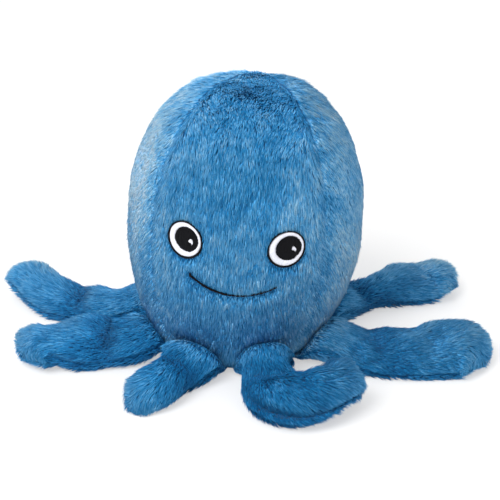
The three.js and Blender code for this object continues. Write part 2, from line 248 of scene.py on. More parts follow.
def random_number(tree, low, high, seed):
    node = add_node(tree, "FunctionNodeRandomValue", {2: low, 3: high, "Seed": seed}, data_type="FLOAT")
    return node.outputs[1]


def store_number(tree, geometry, name, value, kind="FLOAT_VECTOR", domain="POINT"):
    """The same geometry, with a number or a vector stored under a name."""
    inputs = {"Geometry": geometry, "Name": name, "Value": value}
    return add_node(tree, "GeometryNodeStoreNamedAttribute", inputs, data_type=kind, domain=domain).outputs[0]


def start_tree(name, inputs):
    """A tree that makes a piece's geometry, so far with only its named inputs."""
    tree = bpy.data.node_groups.new(name, "GeometryNodeTree")
    tree.is_modifier = True
    tree.interface.new_socket("Geometry", in_out="INPUT", socket_type="NodeSocketGeometry")
    for label, kind in inputs.items():
        tree.interface.new_socket(label, in_out="INPUT", socket_type="NodeSocket" + kind)
    tree.interface.new_socket("Geometry", in_out="OUTPUT", socket_type="NodeSocketGeometry")
    return tree, tree.nodes.new("NodeGroupInput").outputs


def finish_tree(tree, parts, material):
    """The end of such a tree: its parts as one plain geometry in one material."""
    joined = tree.nodes.new("GeometryNodeJoinGeometry")
    for part in parts:
        tree.links.new(part, joined.inputs[0])
    plain = add_node(tree, "GeometryNodeRealizeInstances", {"Geometry": joined.outputs[0]}).outputs[0]
    covered = add_node(tree, "GeometryNodeSetMaterial", {"Geometry": plain, "Material": material})
    result = tree.nodes.new("NodeGroupOutput")
    tree.links.new(covered.outputs[0], result.inputs[0])
    return tree


def apply_tree(piece, tree, given, spent):
    """Runs a tree on a piece with the inputs given by name, keeps what comes out as one plain mesh, and drops
    the stored numbers that only the tree needs."""
    worker = piece.modifiers.new(tree.name, "NODES")
    worker.node_group = tree
    for item in tree.interface.items_tree:
        if item.in_out == "INPUT" and item.name in given:
            worker[item.identifier] = given[item.name]
    depsgraph = bpy.context.evaluated_depsgraph_get()
    made = bpy.data.meshes.new_from_object(piece.evaluated_get(depsgraph))
    made.name = piece.name
    piece.modifiers.clear()
    piece.data = made
    for name in spent:
        if name in made.attributes:
            made.attributes.remove(made.attributes[name])


# How the strands of the pile differ from each other. A drift has the scale of its noise, the noise's detail
# and its share of the wandering. A patch of shade has the scale of its noise and its strength.
drifts = ((45.0, 1.5, 1.0), (150.0, 1.0, 0.45))
own_lean = 0.13
guide_lengths, strand_lengths = (0.95, 1.1), (0.7, 1.1)
strand_widths = (0.7, 1.35)
tuft_pulls = (0.3, 1.0)
least_growth = 0.02
most_tufts_per_area = 4e5
shade_spread = 0.27
shade_patches = ((22.0, 0.5), (110.0, 0.7))
shade_contrast = 0.77
darkest_shade, palest_shade = 0.04, 0.96

# The places of the map of colours: how far the two sides of a strand lie apart on it, and where and how small
# the cloth under the pile lies on it, in a corner of deep blue.
side_on_map = 0.012
cloth_on_map, cloth_map_scale, cloth_map_slant = (0.16, 0.025, 0.0), 0.05, 0.5


def make_pile_tree():
    """Pile growing on cloth: strands that lean along the nap, and whose tips gather into tufts."""
    tree, given = start_tree("plush_pile", {
        "Strand": "Object", "Strands per Area": "Float", "Strand Length": "Float", "Strand Width": "Float",
        "Standing": "Float", "Wander": "Float", "Tuft Spacing": "Float", "Tuft Pull": "Float",
        "Floor Height": "Float", "Seed": "Int", "Material": "Material",
    })
    here = tree.nodes.new("GeometryNodeInputPosition").outputs[0]

    def tips(points, facing, seed, lengths):
        """Points with the place that each one's strand would reach, stored as tip."""
        raised = vector_math(tree, "SCALE", facing, scale=given["Standing"])
        way = vector_math(tree, "ADD", named_number(tree, "nap", "FLOAT_VECTOR"), raised)
        stirred = number_math(tree, "MULTIPLY", given["Wander"], named_number(tree, "stir"))
        for noise_scale, detail, share in drifts:
            inputs = {"Vector": here, "Scale": noise_scale, "Detail": detail}
            noise = add_node(tree, "ShaderNodeTexNoise", inputs).outputs["Color"]
            drift = vector_math(tree, "SUBTRACT", noise, (0.5, 0.5, 0.5))
            drift = vector_math(tree, "SCALE", drift, scale=number_math(tree, "MULTIPLY", stirred, share))
            way = vector_math(tree, "ADD", way, drift)
        own = add_node(tree, "FunctionNodeRandomValue", {0: [-own_lean] * 3, 1: [own_lean] * 3, "Seed": seed},
                       data_type="FLOAT_VECTOR").outputs[0]
        way = vector_math(tree, "NORMALIZE", vector_math(tree, "ADD", way, own))
        reach = number_math(tree, "MULTIPLY", given["Strand Length"], named_number(tree, "growth"))
        reach = number_math(tree, "MULTIPLY", reach, random_number(tree, *lengths, seed))
        tip = vector_math(tree, "ADD", here, vector_math(tree, "SCALE", way, scale=reach))
        return store_number(tree, points, "tip", tip)

    has_pile = add_node(tree, "FunctionNodeCompare", {0: named_number(tree, "growth"), 1: least_growth},
                        operation="GREATER_THAN").outputs[0]
    guides = add_node(tree, "GeometryNodeDistributePointsOnFaces",
                      {"Mesh": given["Geometry"], "Selection": has_pile, "Distance Min": given["Tuft Spacing"],
                       "Density Max": most_tufts_per_area, "Seed": given["Seed"]}, distribute_method="POISSON")
    guides = tips(guides.outputs["Points"], guides.outputs["Normal"], 3, guide_lengths)
    density = number_math(tree, "MULTIPLY", given["Strands per Area"], named_number(tree, "closeness"))
    roots = add_node(tree, "GeometryNodeDistributePointsOnFaces",
                     {"Mesh": given["Geometry"], "Selection": has_pile, "Density": density,
                      "Seed": given["Seed"]}, distribute_method="RANDOM")
    roots = store_number(tree, roots.outputs["Points"], "facing", roots.outputs["Normal"])
    facing = named_number(tree, "facing", "FLOAT_VECTOR")
    strands = tips(roots, facing, 7, strand_lengths)

    nearest = add_node(tree, "GeometryNodeSampleNearest", {"Geometry": guides, "Sample Position": here})
    tip = named_number(tree, "tip", "FLOAT_VECTOR")
    gathered = add_node(tree, "GeometryNodeSampleIndex",
                        {"Geometry": guides, "Value": tip, "Index": nearest.outputs[0]},
                        data_type="FLOAT_VECTOR", domain="POINT").outputs[0]
    pull = number_math(tree, "MULTIPLY", given["Tuft Pull"], random_number(tree, *tuft_pulls, 11))
    pulled = vector_math(tree, "SCALE", vector_math(tree, "SUBTRACT", gathered, tip), scale=pull)
    way = vector_math(tree, "SUBTRACT", vector_math(tree, "ADD", tip, pulled), here)
    upright = add_node(tree, "FunctionNodeAlignRotationToVector", {"Vector": way}, axis="Z")
    turned = add_node(tree, "FunctionNodeAlignRotationToVector",
                      {"Rotation": upright.outputs[0], "Vector": facing}, axis="Y", pivot_axis="Z")
    width = number_math(tree, "MULTIPLY", given["Strand Width"], random_number(tree, *strand_widths, 13))
    size = add_node(tree, "ShaderNodeCombineXYZ",
                    {0: width, 1: width, 2: vector_math(tree, "LENGTH", way)}).outputs[0]
    strand = add_node(tree, "GeometryNodeObjectInfo", {"Object": given["Strand"]}).outputs["Geometry"]
    pile = add_node(tree, "GeometryNodeInstanceOnPoints",
                    {"Points": strands, "Instance": strand, "Rotation": turned.outputs[0], "Scale": size})

    own_shade = random_number(tree, -shade_spread, shade_spread, 17)
    shade = number_math(tree, "ADD", named_number(tree, "tone"), own_shade)
    for noise_scale, strength in shade_patches:
        patches = add_node(tree, "ShaderNodeTexNoise", {"Vector": here, "Scale": noise_scale, "Detail": 2.0})
        patch = number_math(tree, "SUBTRACT", patches.outputs[0], 0.5)
        shade = number_math(tree, "ADD", shade, number_math(tree, "MULTIPLY", patch, strength))
    shade = number_math(tree, "MULTIPLY", shade, shade_contrast)
    shade = add_node(tree, "ShaderNodeClamp", {0: shade, 1: darkest_shade, 2: palest_shade}).outputs[0]
    pile = store_number(tree, pile.outputs[0], "shade", shade, "FLOAT", "INSTANCE")
    pile = add_node(tree, "GeometryNodeRealizeInstances", {"Geometry": pile}).outputs[0]
    x, y, z = add_node(tree, "ShaderNodeSeparateXYZ", {0: here}).outputs
    height = number_math(tree, "MAXIMUM", z, given["Floor Height"])
    on_floor = add_node(tree, "ShaderNodeCombineXYZ", {0: x, 1: y, 2: height}).outputs[0]
    pile = add_node(tree, "GeometryNodeSetPosition", {"Geometry": pile, "Position": on_floor}).outputs[0]

    # The colours lie on a map by shade and by place along the strand, so a strand has the width of its sides.
    aside = number_math(tree, "MULTIPLY", named_number(tree, "aside"), side_on_map)
    aside = number_math(tree, "ADD", named_number(tree, "shade"), aside)
    on_map = add_node(tree, "ShaderNodeCombineXYZ", {0: aside, 1: named_number(tree, "along")}).outputs[0]
    pile = store_number(tree, pile, "OFBake", on_map, "FLOAT2", "CORNER")
    level = number_math(tree, "MULTIPLY", z, cloth_map_slant)
    place = add_node(tree, "ShaderNodeCombineXYZ",
                     {0: number_math(tree, "ADD", x, level), 1: number_math(tree, "ADD", y, level)})
    place = vector_math(tree, "SCALE", place.outputs[0], scale=cloth_map_scale)
    in_corner = vector_math(tree, "ADD", place, cloth_on_map)
    cloth = store_number(tree, given["Geometry"], "OFBake", in_corner, "FLOAT2", "CORNER")
    return finish_tree(tree, (cloth, pile), given["Material"])


def make_strand():
    """One tuft of fibres, a metre long and a metre wide: it bows away from the cloth and ends in a point."""
    root, left, right, tip = (0, 0, 0), (-0.5, 0.35, 0.42), (0.5, 0.35, 0.42), (0, 0, 1)
    faces = [(0, 1, 2), (1, 3, 2), (0, 3, 1), (0, 2, 3)]
    strand = add_mesh("strand", [root, left, right, tip], faces)
    set_numbers(strand, along=(0.02, 0.45, 0.45, 0.98), aside=(0, -1, 1, 0))
    bpy.context.scene.collection.objects.unlink(strand)
    return strand


def start_material(name, roughness, gloss=0.5):
    """A material with a plain shader, its tree and its shader."""
    material = bpy.data.materials.new(name)
    material.use_nodes = True
    shader = material.node_tree.nodes["Principled BSDF"]
    shader.inputs["Roughness"].default_value = roughness
    shader.inputs["Specular IOR Level"].default_value = gloss
    return material, material.node_tree, shader


# The blues of the plush from its darkest strands to its palest, at the roots of the strands and at their tips,
# and the shades at which the three in the middle lie. The darker roots are in part painted shade deep in the
# pile, and the paler tips in part a painted sheen.
root_colours = (
    (0.003, 0.06, 0.17), (0.004, 0.12, 0.33), (0.016, 0.21, 0.5), (0.09, 0.36, 0.7), (0.25, 0.52, 0.85),
)
tip_colours = (
    (0.004, 0.15, 0.4), (0.022, 0.31, 0.68), (0.16, 0.56, 0.95), (0.5, 0.83, 1.0), (0.86, 0.97, 1.0),
)
middle_shades = (0.27, 0.54, 0.77)


def make_plush():
    """Blue plush: deep blue at the roots and pale blue at the tips, in part painted shade and painted sheen,
    with strands of many shades.
    """
    plush, tree, shader = start_material("blue_plush", 0.62, 0.1)
    shader.inputs["Sheen Weight"].default_value = 0.06
    shader.inputs["Sheen Roughness"].default_value = 0.45
    shader.inputs["Sheen Tint"].default_value = (0.62, 0.82, 1.0, 1.0)
    on_map = add_node(tree, "ShaderNodeUVMap", uv_map="OFBake").outputs[0]
    shade, along = add_node(tree, "ShaderNodeSeparateXYZ", {0: on_map}).outputs[:2]
    ramps = []
    for stops in (root_colours, tip_colours):
        colours = add_node(tree, "ShaderNodeValToRGB", {0: shade})
        colours.color_ramp.interpolation = "EASE"
        for place in middle_shades:
            colours.color_ramp.elements.new(place)
        for element, colour in zip(colours.color_ramp.elements, stops):
            element.color = (*colour, 1.0)
        ramps.append(colours.outputs[0])
    mixed = add_node(tree, "ShaderNodeMix", {0: along}, data_type="RGBA")
    tree.links.new(ramps[0], mixed.inputs[6])
    tree.links.new(ramps[1], mixed.inputs[7])
    tree.links.new(mixed.outputs[2], shader.inputs["Base Color"])
    return plush


pile_tree = make_pile_tree()
strand = make_strand()
blue_plush = make_plush()
pile_length, pile_width = 0.0085, 0.0007
pile_numbers = ("nap", "growth", "closeness", "stir", "tone", "tip", "facing", "shade", "along", "aside")


def grow_pile(piece, **sizes):
    """Grows the pile on a piece of cloth, and keeps cloth and pile as one plain mesh."""
    apply_tree(piece, pile_tree, {
        "Strand": strand, "Strands per Area": 1.8e6, "Strand Length": pile_length,
        "Strand Width": pile_width, "Standing": 0.2, "Wander": 0.5, "Tuft Spacing": 0.003,
        "Tuft Pull": 0.35, "Floor Height": 0.0002, "Seed": 1, "Material": blue_plush, **sizes,
    }, pile_numbers)


eye_height = 0.1039
eye_spacing = 0.0668
eye_radius = 0.0129
smile_height = 0.0786
smile_width = 0.057
smile_sag = 0.008
smile_tilt = math.radians(3.2)


def on_face(points):
    """How far across the face and how high points of the head lie, as the embroidery's pattern measures it."""
    slope = head_lean / (head_height - ring_height)
    height = points[..., 2]
    for _ in range(4):
        x = points[..., 0] - slope * (height - ring_height)
        height = points[..., 2] + slope * x * ramp(height, ring_height, head_waist_height)
    y = points[..., 1]
    x, y = x * np.cos(face_turn) + y * np.sin(face_turn), y * np.cos(face_turn) - x * np.sin(face_turn)
    return np.arctan2(x, -y) * np.hypot(x, y), height


# Round the embroidery the pile is cut: bare cloth reaches this far under its edge, and the strands next to it
# end this far from it, but keep a share of their length. A strand that hangs over from above is cut more.
bare_under_edge, cut_at_edge, least_left = 0.0006, 0.0008, 0.1
least_overhang_eye, least_overhang_smile = 0.2, 0.3
cut_at_smile, looser_cheek = 0.0002, 0.0014


def growth_round_face(points):
    """How long the pile is left round the embroidery, so that what lies over its edge is short."""
    across, height = on_face(points)
    left = np.ones_like(across)
    for side in (-1, 1):
        x, z = across - side * eye_spacing / 2, height - eye_height
        away = np.hypot(x, z)
        leaning_in = np.clip(z / np.maximum(away, 1e-6), least_overhang_eye, 1)
        allowed = np.clip((away - eye_radius + cut_at_edge) / leaning_in / pile_length, least_left, 1)
        left = np.minimum(left, np.where(away < eye_radius - bare_under_edge, 0, allowed))
    along = np.cos(smile_tilt) * across - np.sin(smile_tilt) * (height - smile_height)
    up = np.sin(smile_tilt) * across + np.cos(smile_tilt) * (height - smile_height)
    share = np.clip(2 * along / smile_width, -1, 1)
    up = up + smile_sag * (1 - share**2)
    away = np.hypot(along - share * smile_width / 2, up)
    leaning_in = np.clip(up / np.maximum(away, 1e-6), least_overhang_smile, 1)
    allowed = (away - cut_at_smile + looser_cheek * share) / leaning_in / pile_length
    return np.minimum(left, np.clip(allowed, least_left, 1))


# How the pile lies: over a seam it bends to the seam's far side, on the side gores it runs away from the
# middle, and above the ring it hangs over the arms' roots. It is worn short at the seams, in the ring and low
# on the sides, and stands denser along the seams, where two cloths meet.
nap_over_seam, seam_share = 0.5, 0.8
nap_from_middle = 0.55
overhang, overhang_levels = 0.75, (0.008, 0.026)
seam_growth, seam_growth_width = 0.85, 0.01
ring_growth, ring_growth_height = 0.75, 0.01
side_wear, side_wear_levels = 0.35, (0.08, 0.13)
gore_closeness, seam_closeness, dense_width = 0.92, 1.1, 0.0025
crown_stir = 1.3

# The shade of the pile. Each gore is paler by a painted sheen of its own share, and by more or less towards its
# upper part and towards the crown. The face has a painted sheen at its cheeks, each seam a little painted
# shade, and the pile cut round the embroidery a painted shadow.
gore_tone, crown_tone, embroidery_painted_shadow = 0.51, 0.02, 0.3
upper_levels, crown_slopes = (0.06, 0.13), (0.5, 0.95)
gore_painted_sheen = {"front": (0, 0, 0), "right": (0.26, -0.1, 0), "back": (0, 0, 0.2), "left": (0.1, 0.29, -0.14)}
painted_sheen_widths = (-0.004, 0.02)
cheek_painted_sheen, cheek_places, other_gore_painted_sheen = 0.16, (0.024, 0.058), 0.14
face_seam_painted_shade, other_seam_painted_shade, seam_shade_width = 0.1, 0.03, 0.006

# Where a hand has stroked the pile of the face another way, painted sheen and shade make it darker or paler:
# how far across the face and how high that is, how far it reaches, and by how much it changes.
stroked_painted_sheen = (
    (0.002, 0.137, 0.011, -0.14), (0.010, 0.153, 0.020, -0.10), (0.040, 0.127, 0.017, 0.16),
    (-0.036, 0.130, 0.012, 0.08), (0.006, 0.116, 0.026, 0.10), (0.037, 0.088, 0.020, 0.14),
    (-0.020, 0.088, 0.010, 0.06),
)
gore_rows, gore_columns = 90, 49
gore_narrowing = 0.8
latitude_step, azimuth_step = 0.004, 0.02


def directions_on_head(azimuths, latitudes):
    """The directions down the head, across it and out of it."""
    highest = crown_angle - latitude_step / 2
    above = np.minimum(latitudes + latitude_step, highest)
    below = np.minimum(latitudes, highest) - latitude_step
    down = unit(head_point(azimuths, below) - head_point(azimuths, above))
    aside = head_point(azimuths + azimuth_step, latitudes) - head_point(azimuths - azimuth_step, latitudes)
    facing = unit(np.cross(down, unit(aside)))
    return down, unit(np.cross(facing, down)), facing


latitudes = evenly_spaced_latitudes(gore_rows)[:, None]
for index, name in enumerate(gore_names):
    is_front = name == "front"
    middle = index * gore_angle
    narrowing = np.cos(latitudes) ** gore_narrowing
    gap_share = sewing_gap / 2 / ((head_radius - gore_thickness) * narrowing)
    half = gore_angle / 2 - np.arcsin(np.minimum(1, gap_share))
    azimuths = middle + half * np.linspace(-1, 1, gore_columns)[None, :]
    outside = settled_point(azimuths, latitudes)
    inside = settled_point(azimuths, latitudes, -gore_thickness)
    level = outside[..., 2]
    edge = (1 - np.abs(azimuths - middle) / half) * half * head_radius * narrowing

    down, aside, facing = directions_on_head(azimuths, latitudes)
    aslant = (azimuths - middle) / half
    if name in ("front", "back"):
        over_seam = nap_over_seam * np.sign(aslant) * ramp(np.abs(aslant), seam_share, 1)
        turn = over_seam - (azimuths - middle) * facing[..., 2]
    else:
        turn = -nap_from_middle * aslant
    nap = down * np.cos(turn)[..., None] + aside * np.sin(turn)[..., None]
    overhanging = overhang * (1 - ramp(level, *(ring_height + rise for rise in overhang_levels)))
    nap = unit(nap + overhanging[..., None] * facing)

    high = ramp(facing[..., 2], *crown_slopes)
    growth = seam_growth + (1 - seam_growth) * ramp(edge, 0.0, seam_growth_width)
    in_ring = ramp(level, ring_height, ring_height + ring_growth_height)
    growth = growth * (ring_growth + (1 - ring_growth) * in_ring)
    closeness = gore_closeness + seam_closeness * (1 - ramp(edge, 0.0, dense_width))
    left = growth_round_face(outside) if is_front else np.ones_like(growth)
    growth = np.minimum(growth, left)
    closeness = np.where(left > 0, closeness, 0.0)
    if not is_front:
        growth = growth * (1 - side_wear * ramp(level, *side_wear_levels) * (1 - high))

    # A painted sheen pales the gores and the cheeks, and painted shade darkens the seams and the pile cut round
    # the embroidery.
    plain, by_height, by_crown = gore_painted_sheen[name]
    paler = (plain + by_height * ramp(level, *upper_levels) + by_crown * high) * ramp(edge, *painted_sheen_widths)
    across, height = on_face(outside)
    paler = paler + (cheek_painted_sheen * ramp(np.abs(across), *cheek_places) if is_front else other_gore_painted_sheen)
    for x, z, reach, change in stroked_painted_sheen if is_front else ():
        paler = paler + change * np.exp(-((across - x) ** 2 + (height - z) ** 2) / reach**2)
    seam_painted_shade = (face_seam_painted_shade if is_front else other_seam_painted_shade) * (1 - ramp(edge, 0.0, seam_shade_width))
    tone = gore_tone + crown_tone * high + paler - seam_painted_shade - embroidery_painted_shadow * (1 - left)

    piece = add_mesh(f"head_{name}_gore", *sheet_between(outside, inside))
    stir = 1 + crown_stir * high
    set_numbers(piece, **on_outside(nap=nap, growth=growth, closeness=closeness, stir=stir, tone=tone))
    grow_pile(piece, Seed=index + 1)
    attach(piece, "head")
    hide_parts(f"head_{name}_panel")

# Head's cushion. Loose polyester fibre that fills the bag and takes its shape. It is one closed form, which
# the base below it makes flat.
base_thickness = 0.0022
fit_gap = 0.0003
base_radius = 0.0498


def closed_tube(loops):
    """The points and faces of a closed body through loops of points, each with the same count."""
    rows, columns = loops.shape[:2]
    faces = [list(face) for face in grid_faces(rows, columns, is_ring=True)]
    faces += [list(range(columns))[::-1], list(range((rows - 1) * columns, rows * columns))]
    return loops.reshape(-1, 3), faces


def add_mottled_colour(tree, shader, grain, dark, pale):
    """A colour that wanders between two by the grain of a fine noise. It gives the noise back."""
    place = tree.nodes.new("ShaderNodeTexCoord").outputs["Object"]
    noise = add_node(tree, "ShaderNodeTexNoise", {"Vector": place, **grain}).outputs[0]
    colours = add_node(tree, "ShaderNodeValToRGB", {0: noise})
    for element, colour in zip(colours.color_ramp.elements, (dark, pale)):
        element.color = (*colour, 1)
    tree.links.new(colours.outputs[0], shader.inputs["Base Color"])
    return noise


def make_fibre():
    """White polyester fibre: fine matted strands, slightly rough to the light."""
    fibre, tree, shader = start_material("fibre_filling", 0.95)
    grain = {"Scale": 420.0, "Detail": 5.0, "Distortion": 2.2}
    matted = add_mottled_colour(tree, shader, grain, (0.6, 0.6, 0.58), (0.92, 0.92, 0.9))
    bump = add_node(tree, "ShaderNodeBump", {"Height": matted, "Strength": 0.6, "Distance": 0.001})
    tree.links.new(bump.outputs[0], shader.inputs["Normal"])
    return fibre


cushion_rows, cushion_columns = 40, 96
filling_setback = 0.012
fibre_filling = make_fibre()
under_gores = -(gore_thickness + fit_gap)
round_head = np.linspace(0, 2 * math.pi, cushion_columns, endpoint=False)
rounds = settled_point(round_head[None], evenly_spaced_latitudes(cushion_rows)[:, None], under_gores)
underside = np.stack([np.sin(round_head), -np.cos(round_head), np.zeros(cushion_columns)], -1)
underside = underside * (base_radius - filling_setback) + (0, 0, base_thickness + fit_gap)
cushion = add_mesh("head_cushion", *closed_tube(np.concatenate([underside[None], rounds])), fibre_filling)
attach(cushion, "head")
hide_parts("head_stuffing")

# Base. A round of the same plush with its pile worn short, sewn into the ring under the head, and pressed
# flat by what stands on it.
base_sides = 96
base_rounding, base_middle = 0.0009, 0.55
base_on_map, base_map_scale, base_map_slant = (0.3, 0.35), 0.9, (1, 2)
rim = np.array([0, 0.45, 0.8, 1.0, 1.0, 0.8, 0.45, 0])
rise = np.array([0, 0, 0.05, 0.3, 0.7, 0.95, 1, 1])
profile = np.stack([base_radius - base_rounding * (1 - rim), base_thickness * rise], -1)
profile[[0, -1], 0] = base_radius * base_middle
sides = np.linspace(0, 2 * math.pi, base_sides, endpoint=False)
discs = np.stack([
    profile[:, :1] * np.cos(sides), profile[:, :1] * np.sin(sides), np.repeat(profile[:, 1:], base_sides, 1),
], -1)
base = add_mesh("head_base", *closed_tube(discs), blue_plush)
place = base.data.uv_layers.new(name="OFBake")
spots = np.array([base.data.vertices[loop.vertex_index].co[:] for loop in base.data.loops])
on_map = np.array(base_on_map) + base_map_scale * spots[:, :2] + np.array(base_map_slant) * spots[:, 2:]
place.data.foreach_set("uv", on_map.ravel())
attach(base, "head")
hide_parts("head_base_panel")

# Arms. Eight flat bags, each of an upper and a lower cloth sewn together round the edge, with a little filling.
# They are sewn into the ring and lie on the floor, each in its own bends, and their nap runs to the tip.
arm_length = 0.132
arm_width = 0.042
arm_thickness = 0.015
arm_root_thickness = 0.0044
arm_cloth_thickness = 0.002
arm_tip_length = 0.019
arm_swell_length = 0.024
root_fill_length = 0.017
root_plumpness = 0.2
plump_reach = (0.02, 0.05)
pressed_share = 0.45
arm_side_gap = 0.0006
arm_floor_gap = 0.0002
hinge_height = base_thickness + fit_gap + arm_root_thickness / 2
quarter_turn = math.pi / 2
route_steps = 60

# How each arm lies, in shares: how far it reaches, and from its root to its tip its turn and its roll as shares
# of a right angle, its lift off the floor and its gathers as shares of its width, its fullness and the comb of
# its nap. One share alone holds all along the arm. Its shade has a tone and the painted sheen that its far side
# adds. A fold has its place along the arm, its slant, its depth and its reach, and a crease along the arm its
# place across, its depth, its start and its end.
arm_poses = {
    "front_right_arm": dict(
        reach=0.91, turn=(0, -0.16, 0.03, 0.64, 1.26, 1.5), roll=(0, 0.1, 0.23, 0.36, 0.6, 0.72),
        lift=(0, 0, 0.01, 0.04, 0.17, 0.15), gather=(1, 0.79, 0.92, 0.9, 0.69, 0.75),
        full=(1.6, 1.55, 1.4, 1.35, 1.55, 1.55),
        far_painted_sheen=0.0, tone=0.22, comb=(0, 0, -0.2, -0.7, -1.1, -1.2),
        folds=((0.36, 0.5, 0.25, 0.008), (0.62, -0.4, 0.14, 0.008)),
        creases=((-0.72, 0.5, 0.4, 0.95), (0.4, 0.16, 0.45, 0.9))),
    "right_front_arm": dict(
        reach=0.95, turn=(0, 0.09, 0.15, 0.3, 0.31, -0.06), roll=(0, -0.05, 0.1, 0.12, 0.19, 0.09),
        lift=(0, 0, 0, 0, 0.01, 0.1), gather=(1, 0.98, 1.09, 1.13, 1.15, 1.11),
        full=(1.7, 1.24, 1.04, 1.07, 1.28, 1.17),
        far_painted_sheen=0.05, tone=0.33, comb=(0,),
        folds=((0.42, -0.5, 0.24, 0.009), (0.72, 0.3, 0.12, 0.009))),
    "right_back_arm": dict(
        reach=0.9, turn=(0, 0.12, 0.14, 0.08, 0.02, -0.26), roll=(0, 0.14, 0.18, 0.26, 0.14, 0.06),
        lift=(0, 0, 0.06, 0.04, 0.04, 0.16), gather=(0.9, 0.7, 0.55, 0.77, 0.89, 0.81),
        full=(1.6, 1.22, 1.04, 1.16, 1.06, 1.21),
        far_painted_sheen=0.38, tone=0.31, comb=(0, 0, 0.1, 0, 0, 0),
        folds=((0.14, 0.5, 0.26, 0.008), (0.3, -0.4, 0.24, 0.008))),
    "back_right_arm": dict(
        reach=0.92, turn=(0, 0.15, 0.25, 0.32, 0.35, 0.37), roll=(0,),
        lift=(0,), gather=(1,), full=(1.6, 1.45, 1.2, 1.1, 1.2, 1.2),
        far_painted_sheen=0.0, tone=0.36, comb=(0,),
        folds=((0.38, -0.5, 0.18, 0.008), (0.7, 0.4, 0.12, 0.009))),
    "back_left_arm": dict(
        reach=0.9, turn=(0, 0.03, 0.05, 0.02, -0.06, -0.1), roll=(0, 0, 0, -0.06, -0.1, -0.1),
        lift=(0,), gather=(1, 1, 0.96, 1, 1, 1), full=(1.6, 1.45, 1.2, 1.1, 1.2, 1.2),
        far_painted_sheen=0.0, tone=0.36, comb=(0,),
        folds=((0.58, 0.45, 0.2, 0.008),)),
    "left_back_arm": dict(
        reach=1, turn=(0, 0.42, 0.25, 0.08, -0.22, -0.01), roll=(0, 0.06, -0.05, -0.07, 0.03, 0.09),
        lift=(0, 0, 0, 0, 0.08, 0.19), gather=(1, 0.92, 0.92, 0.91, 0.82, 0.79),
        full=(1.7, 1.13, 1.01, 0.99, 1.18, 1.22),
        far_painted_sheen=0.12, tone=0.36, comb=(0,),
        folds=((0.5, -0.25, 0.4, 0.008),)),
    "left_front_arm": dict(
        reach=0.77, turn=(0, 0.18, -0.06, -0.13, -0.06, 0.2), roll=(0, 0, -0.12, -0.12, 0.03, -0.07),
        lift=(0, 0, 0, 0, 0, 0.12), gather=(1, 1.08, 1.06, 1.08, 0.98, 1.15),
        full=(1.7, 1.19, 1.37, 1.37, 1.42, 1.33),
        far_painted_sheen=0.1, tone=0.26, comb=(0, 0, -0.1, -0.2, -0.2, 0),
        folds=((0.4, 0.2, 0.4, 0.008), (0.2, -0.3, 0.16, 0.008))),
    "front_left_arm": dict(
        reach=0.57, turn=(0, 0.05, -0.08, -0.04, -0.32, -0.25), roll=(0, -0.08, -0.3, -0.52, -0.49, -0.36),
        lift=(0, 0, 0, 0.02, 0, 0.02), gather=(1, 0.96, 0.73, 0.67, 0.69, 0.75),
        full=(1.6, 1.45, 1.35, 1.2, 1.2, 1.25),
        far_painted_sheen=0.0, tone=0.25, comb=(0, 0, 0.2, 0.4, 0.4, 0.3),
        folds=((0.42, -0.3, 0.24, 0.008),)),
}


def spread(shares, place):
    """A value read from a table of shares at a place from 0 to 1 along it, on a smooth curve."""
    shares, place = np.asarray(shares, float), np.asarray(place, float) * (len(shares) - 1)
    last = len(shares) - 1
    index = np.clip(np.floor(place).astype(int), 0, last)
    t = place - index
    before, here = shares[np.maximum(index - 1, 0)], shares[index]
    after, beyond = shares[np.minimum(index + 1, last)], shares[np.minimum(index + 2, last)]
    start, end = (after - before) / 2, (beyond - here) / 2
    return ((2 * here - 2 * after + start + end) * t**3
            + (3 * after - 3 * here - 2 * start - end) * t**2 + start * t + here)


def arm_line(pose, azimuth, distances):
    """The middle line, the directions across and out of the flat arm, and its half width and thickness."""
    length = arm_length * pose["reach"]
    outward = np.array([math.sin(azimuth), -math.cos(azimuth), 0])
    sideways = np.array([math.cos(azimuth), math.sin(azimuth), 0])
    steps = np.linspace(0, 1, route_steps + 1)
    turns = spread(pose["turn"], steps) * quarter_turn
    turns[0] = 0
    headings = np.cos(turns)[:, None] * outward + np.sin(turns)[:, None] * sideways
    strides = unit(headings[1:] + headings[:-1]) * length / route_steps
    places = outward * ring_radius + np.concatenate([np.zeros((1, 3)), np.cumsum(strides, 0)])
    share = np.maximum(0, distances / length)
    heading = unit(np.stack([np.interp(share, steps, headings[:, k]) for k in range(3)], -1))
    point = np.stack([np.interp(share, steps, places[:, k]) for k in range(3)], -1)
    point = point + heading * np.minimum(0, distances)[:, None]
    roll = spread(pose["roll"], share) * quarter_turn
    upright = np.array([0.0, 0.0, 1.0])
    across = np.cross(upright, heading) * np.cos(roll)[:, None] + upright * np.sin(roll)[:, None]
    out = np.cross(heading, across)
    settled = ramp(distances, 0, arm_swell_length)
    filled = ramp(distances, 0, root_fill_length)
    tip = np.sqrt(np.maximum(0, 1 - (np.maximum(0, distances - length + arm_tip_length) / arm_tip_length) ** 2))
    root_half = ring_radius * math.tan(math.pi / len(arm_poses)) - arm_side_gap
    width = (root_half + (arm_width / 2 * spread(pose["gather"], share) - root_half) * settled) * tip
    plump = 1 + root_plumpness * (1 - ramp(distances, *plump_reach))
    full = arm_thickness * spread(pose["full"], share) * plump
    thickness = (arm_root_thickness + (full - arm_root_thickness) * filled) / 2 * tip
    thickness = thickness * np.sqrt(np.maximum(0, 1 - np.minimum(0, 2 * distances / arm_root_thickness) ** 2))
    standing = np.hypot(width * across[:, 2], thickness * out[:, 2])
    lowest = arm_floor_gap + standing
    resting = lowest + spread(pose["lift"], share) * arm_width
    point[:, 2] = np.maximum(lowest, hinge_height + (resting - hinge_height) * filled)
    return distances, point, across, out, width, thickness


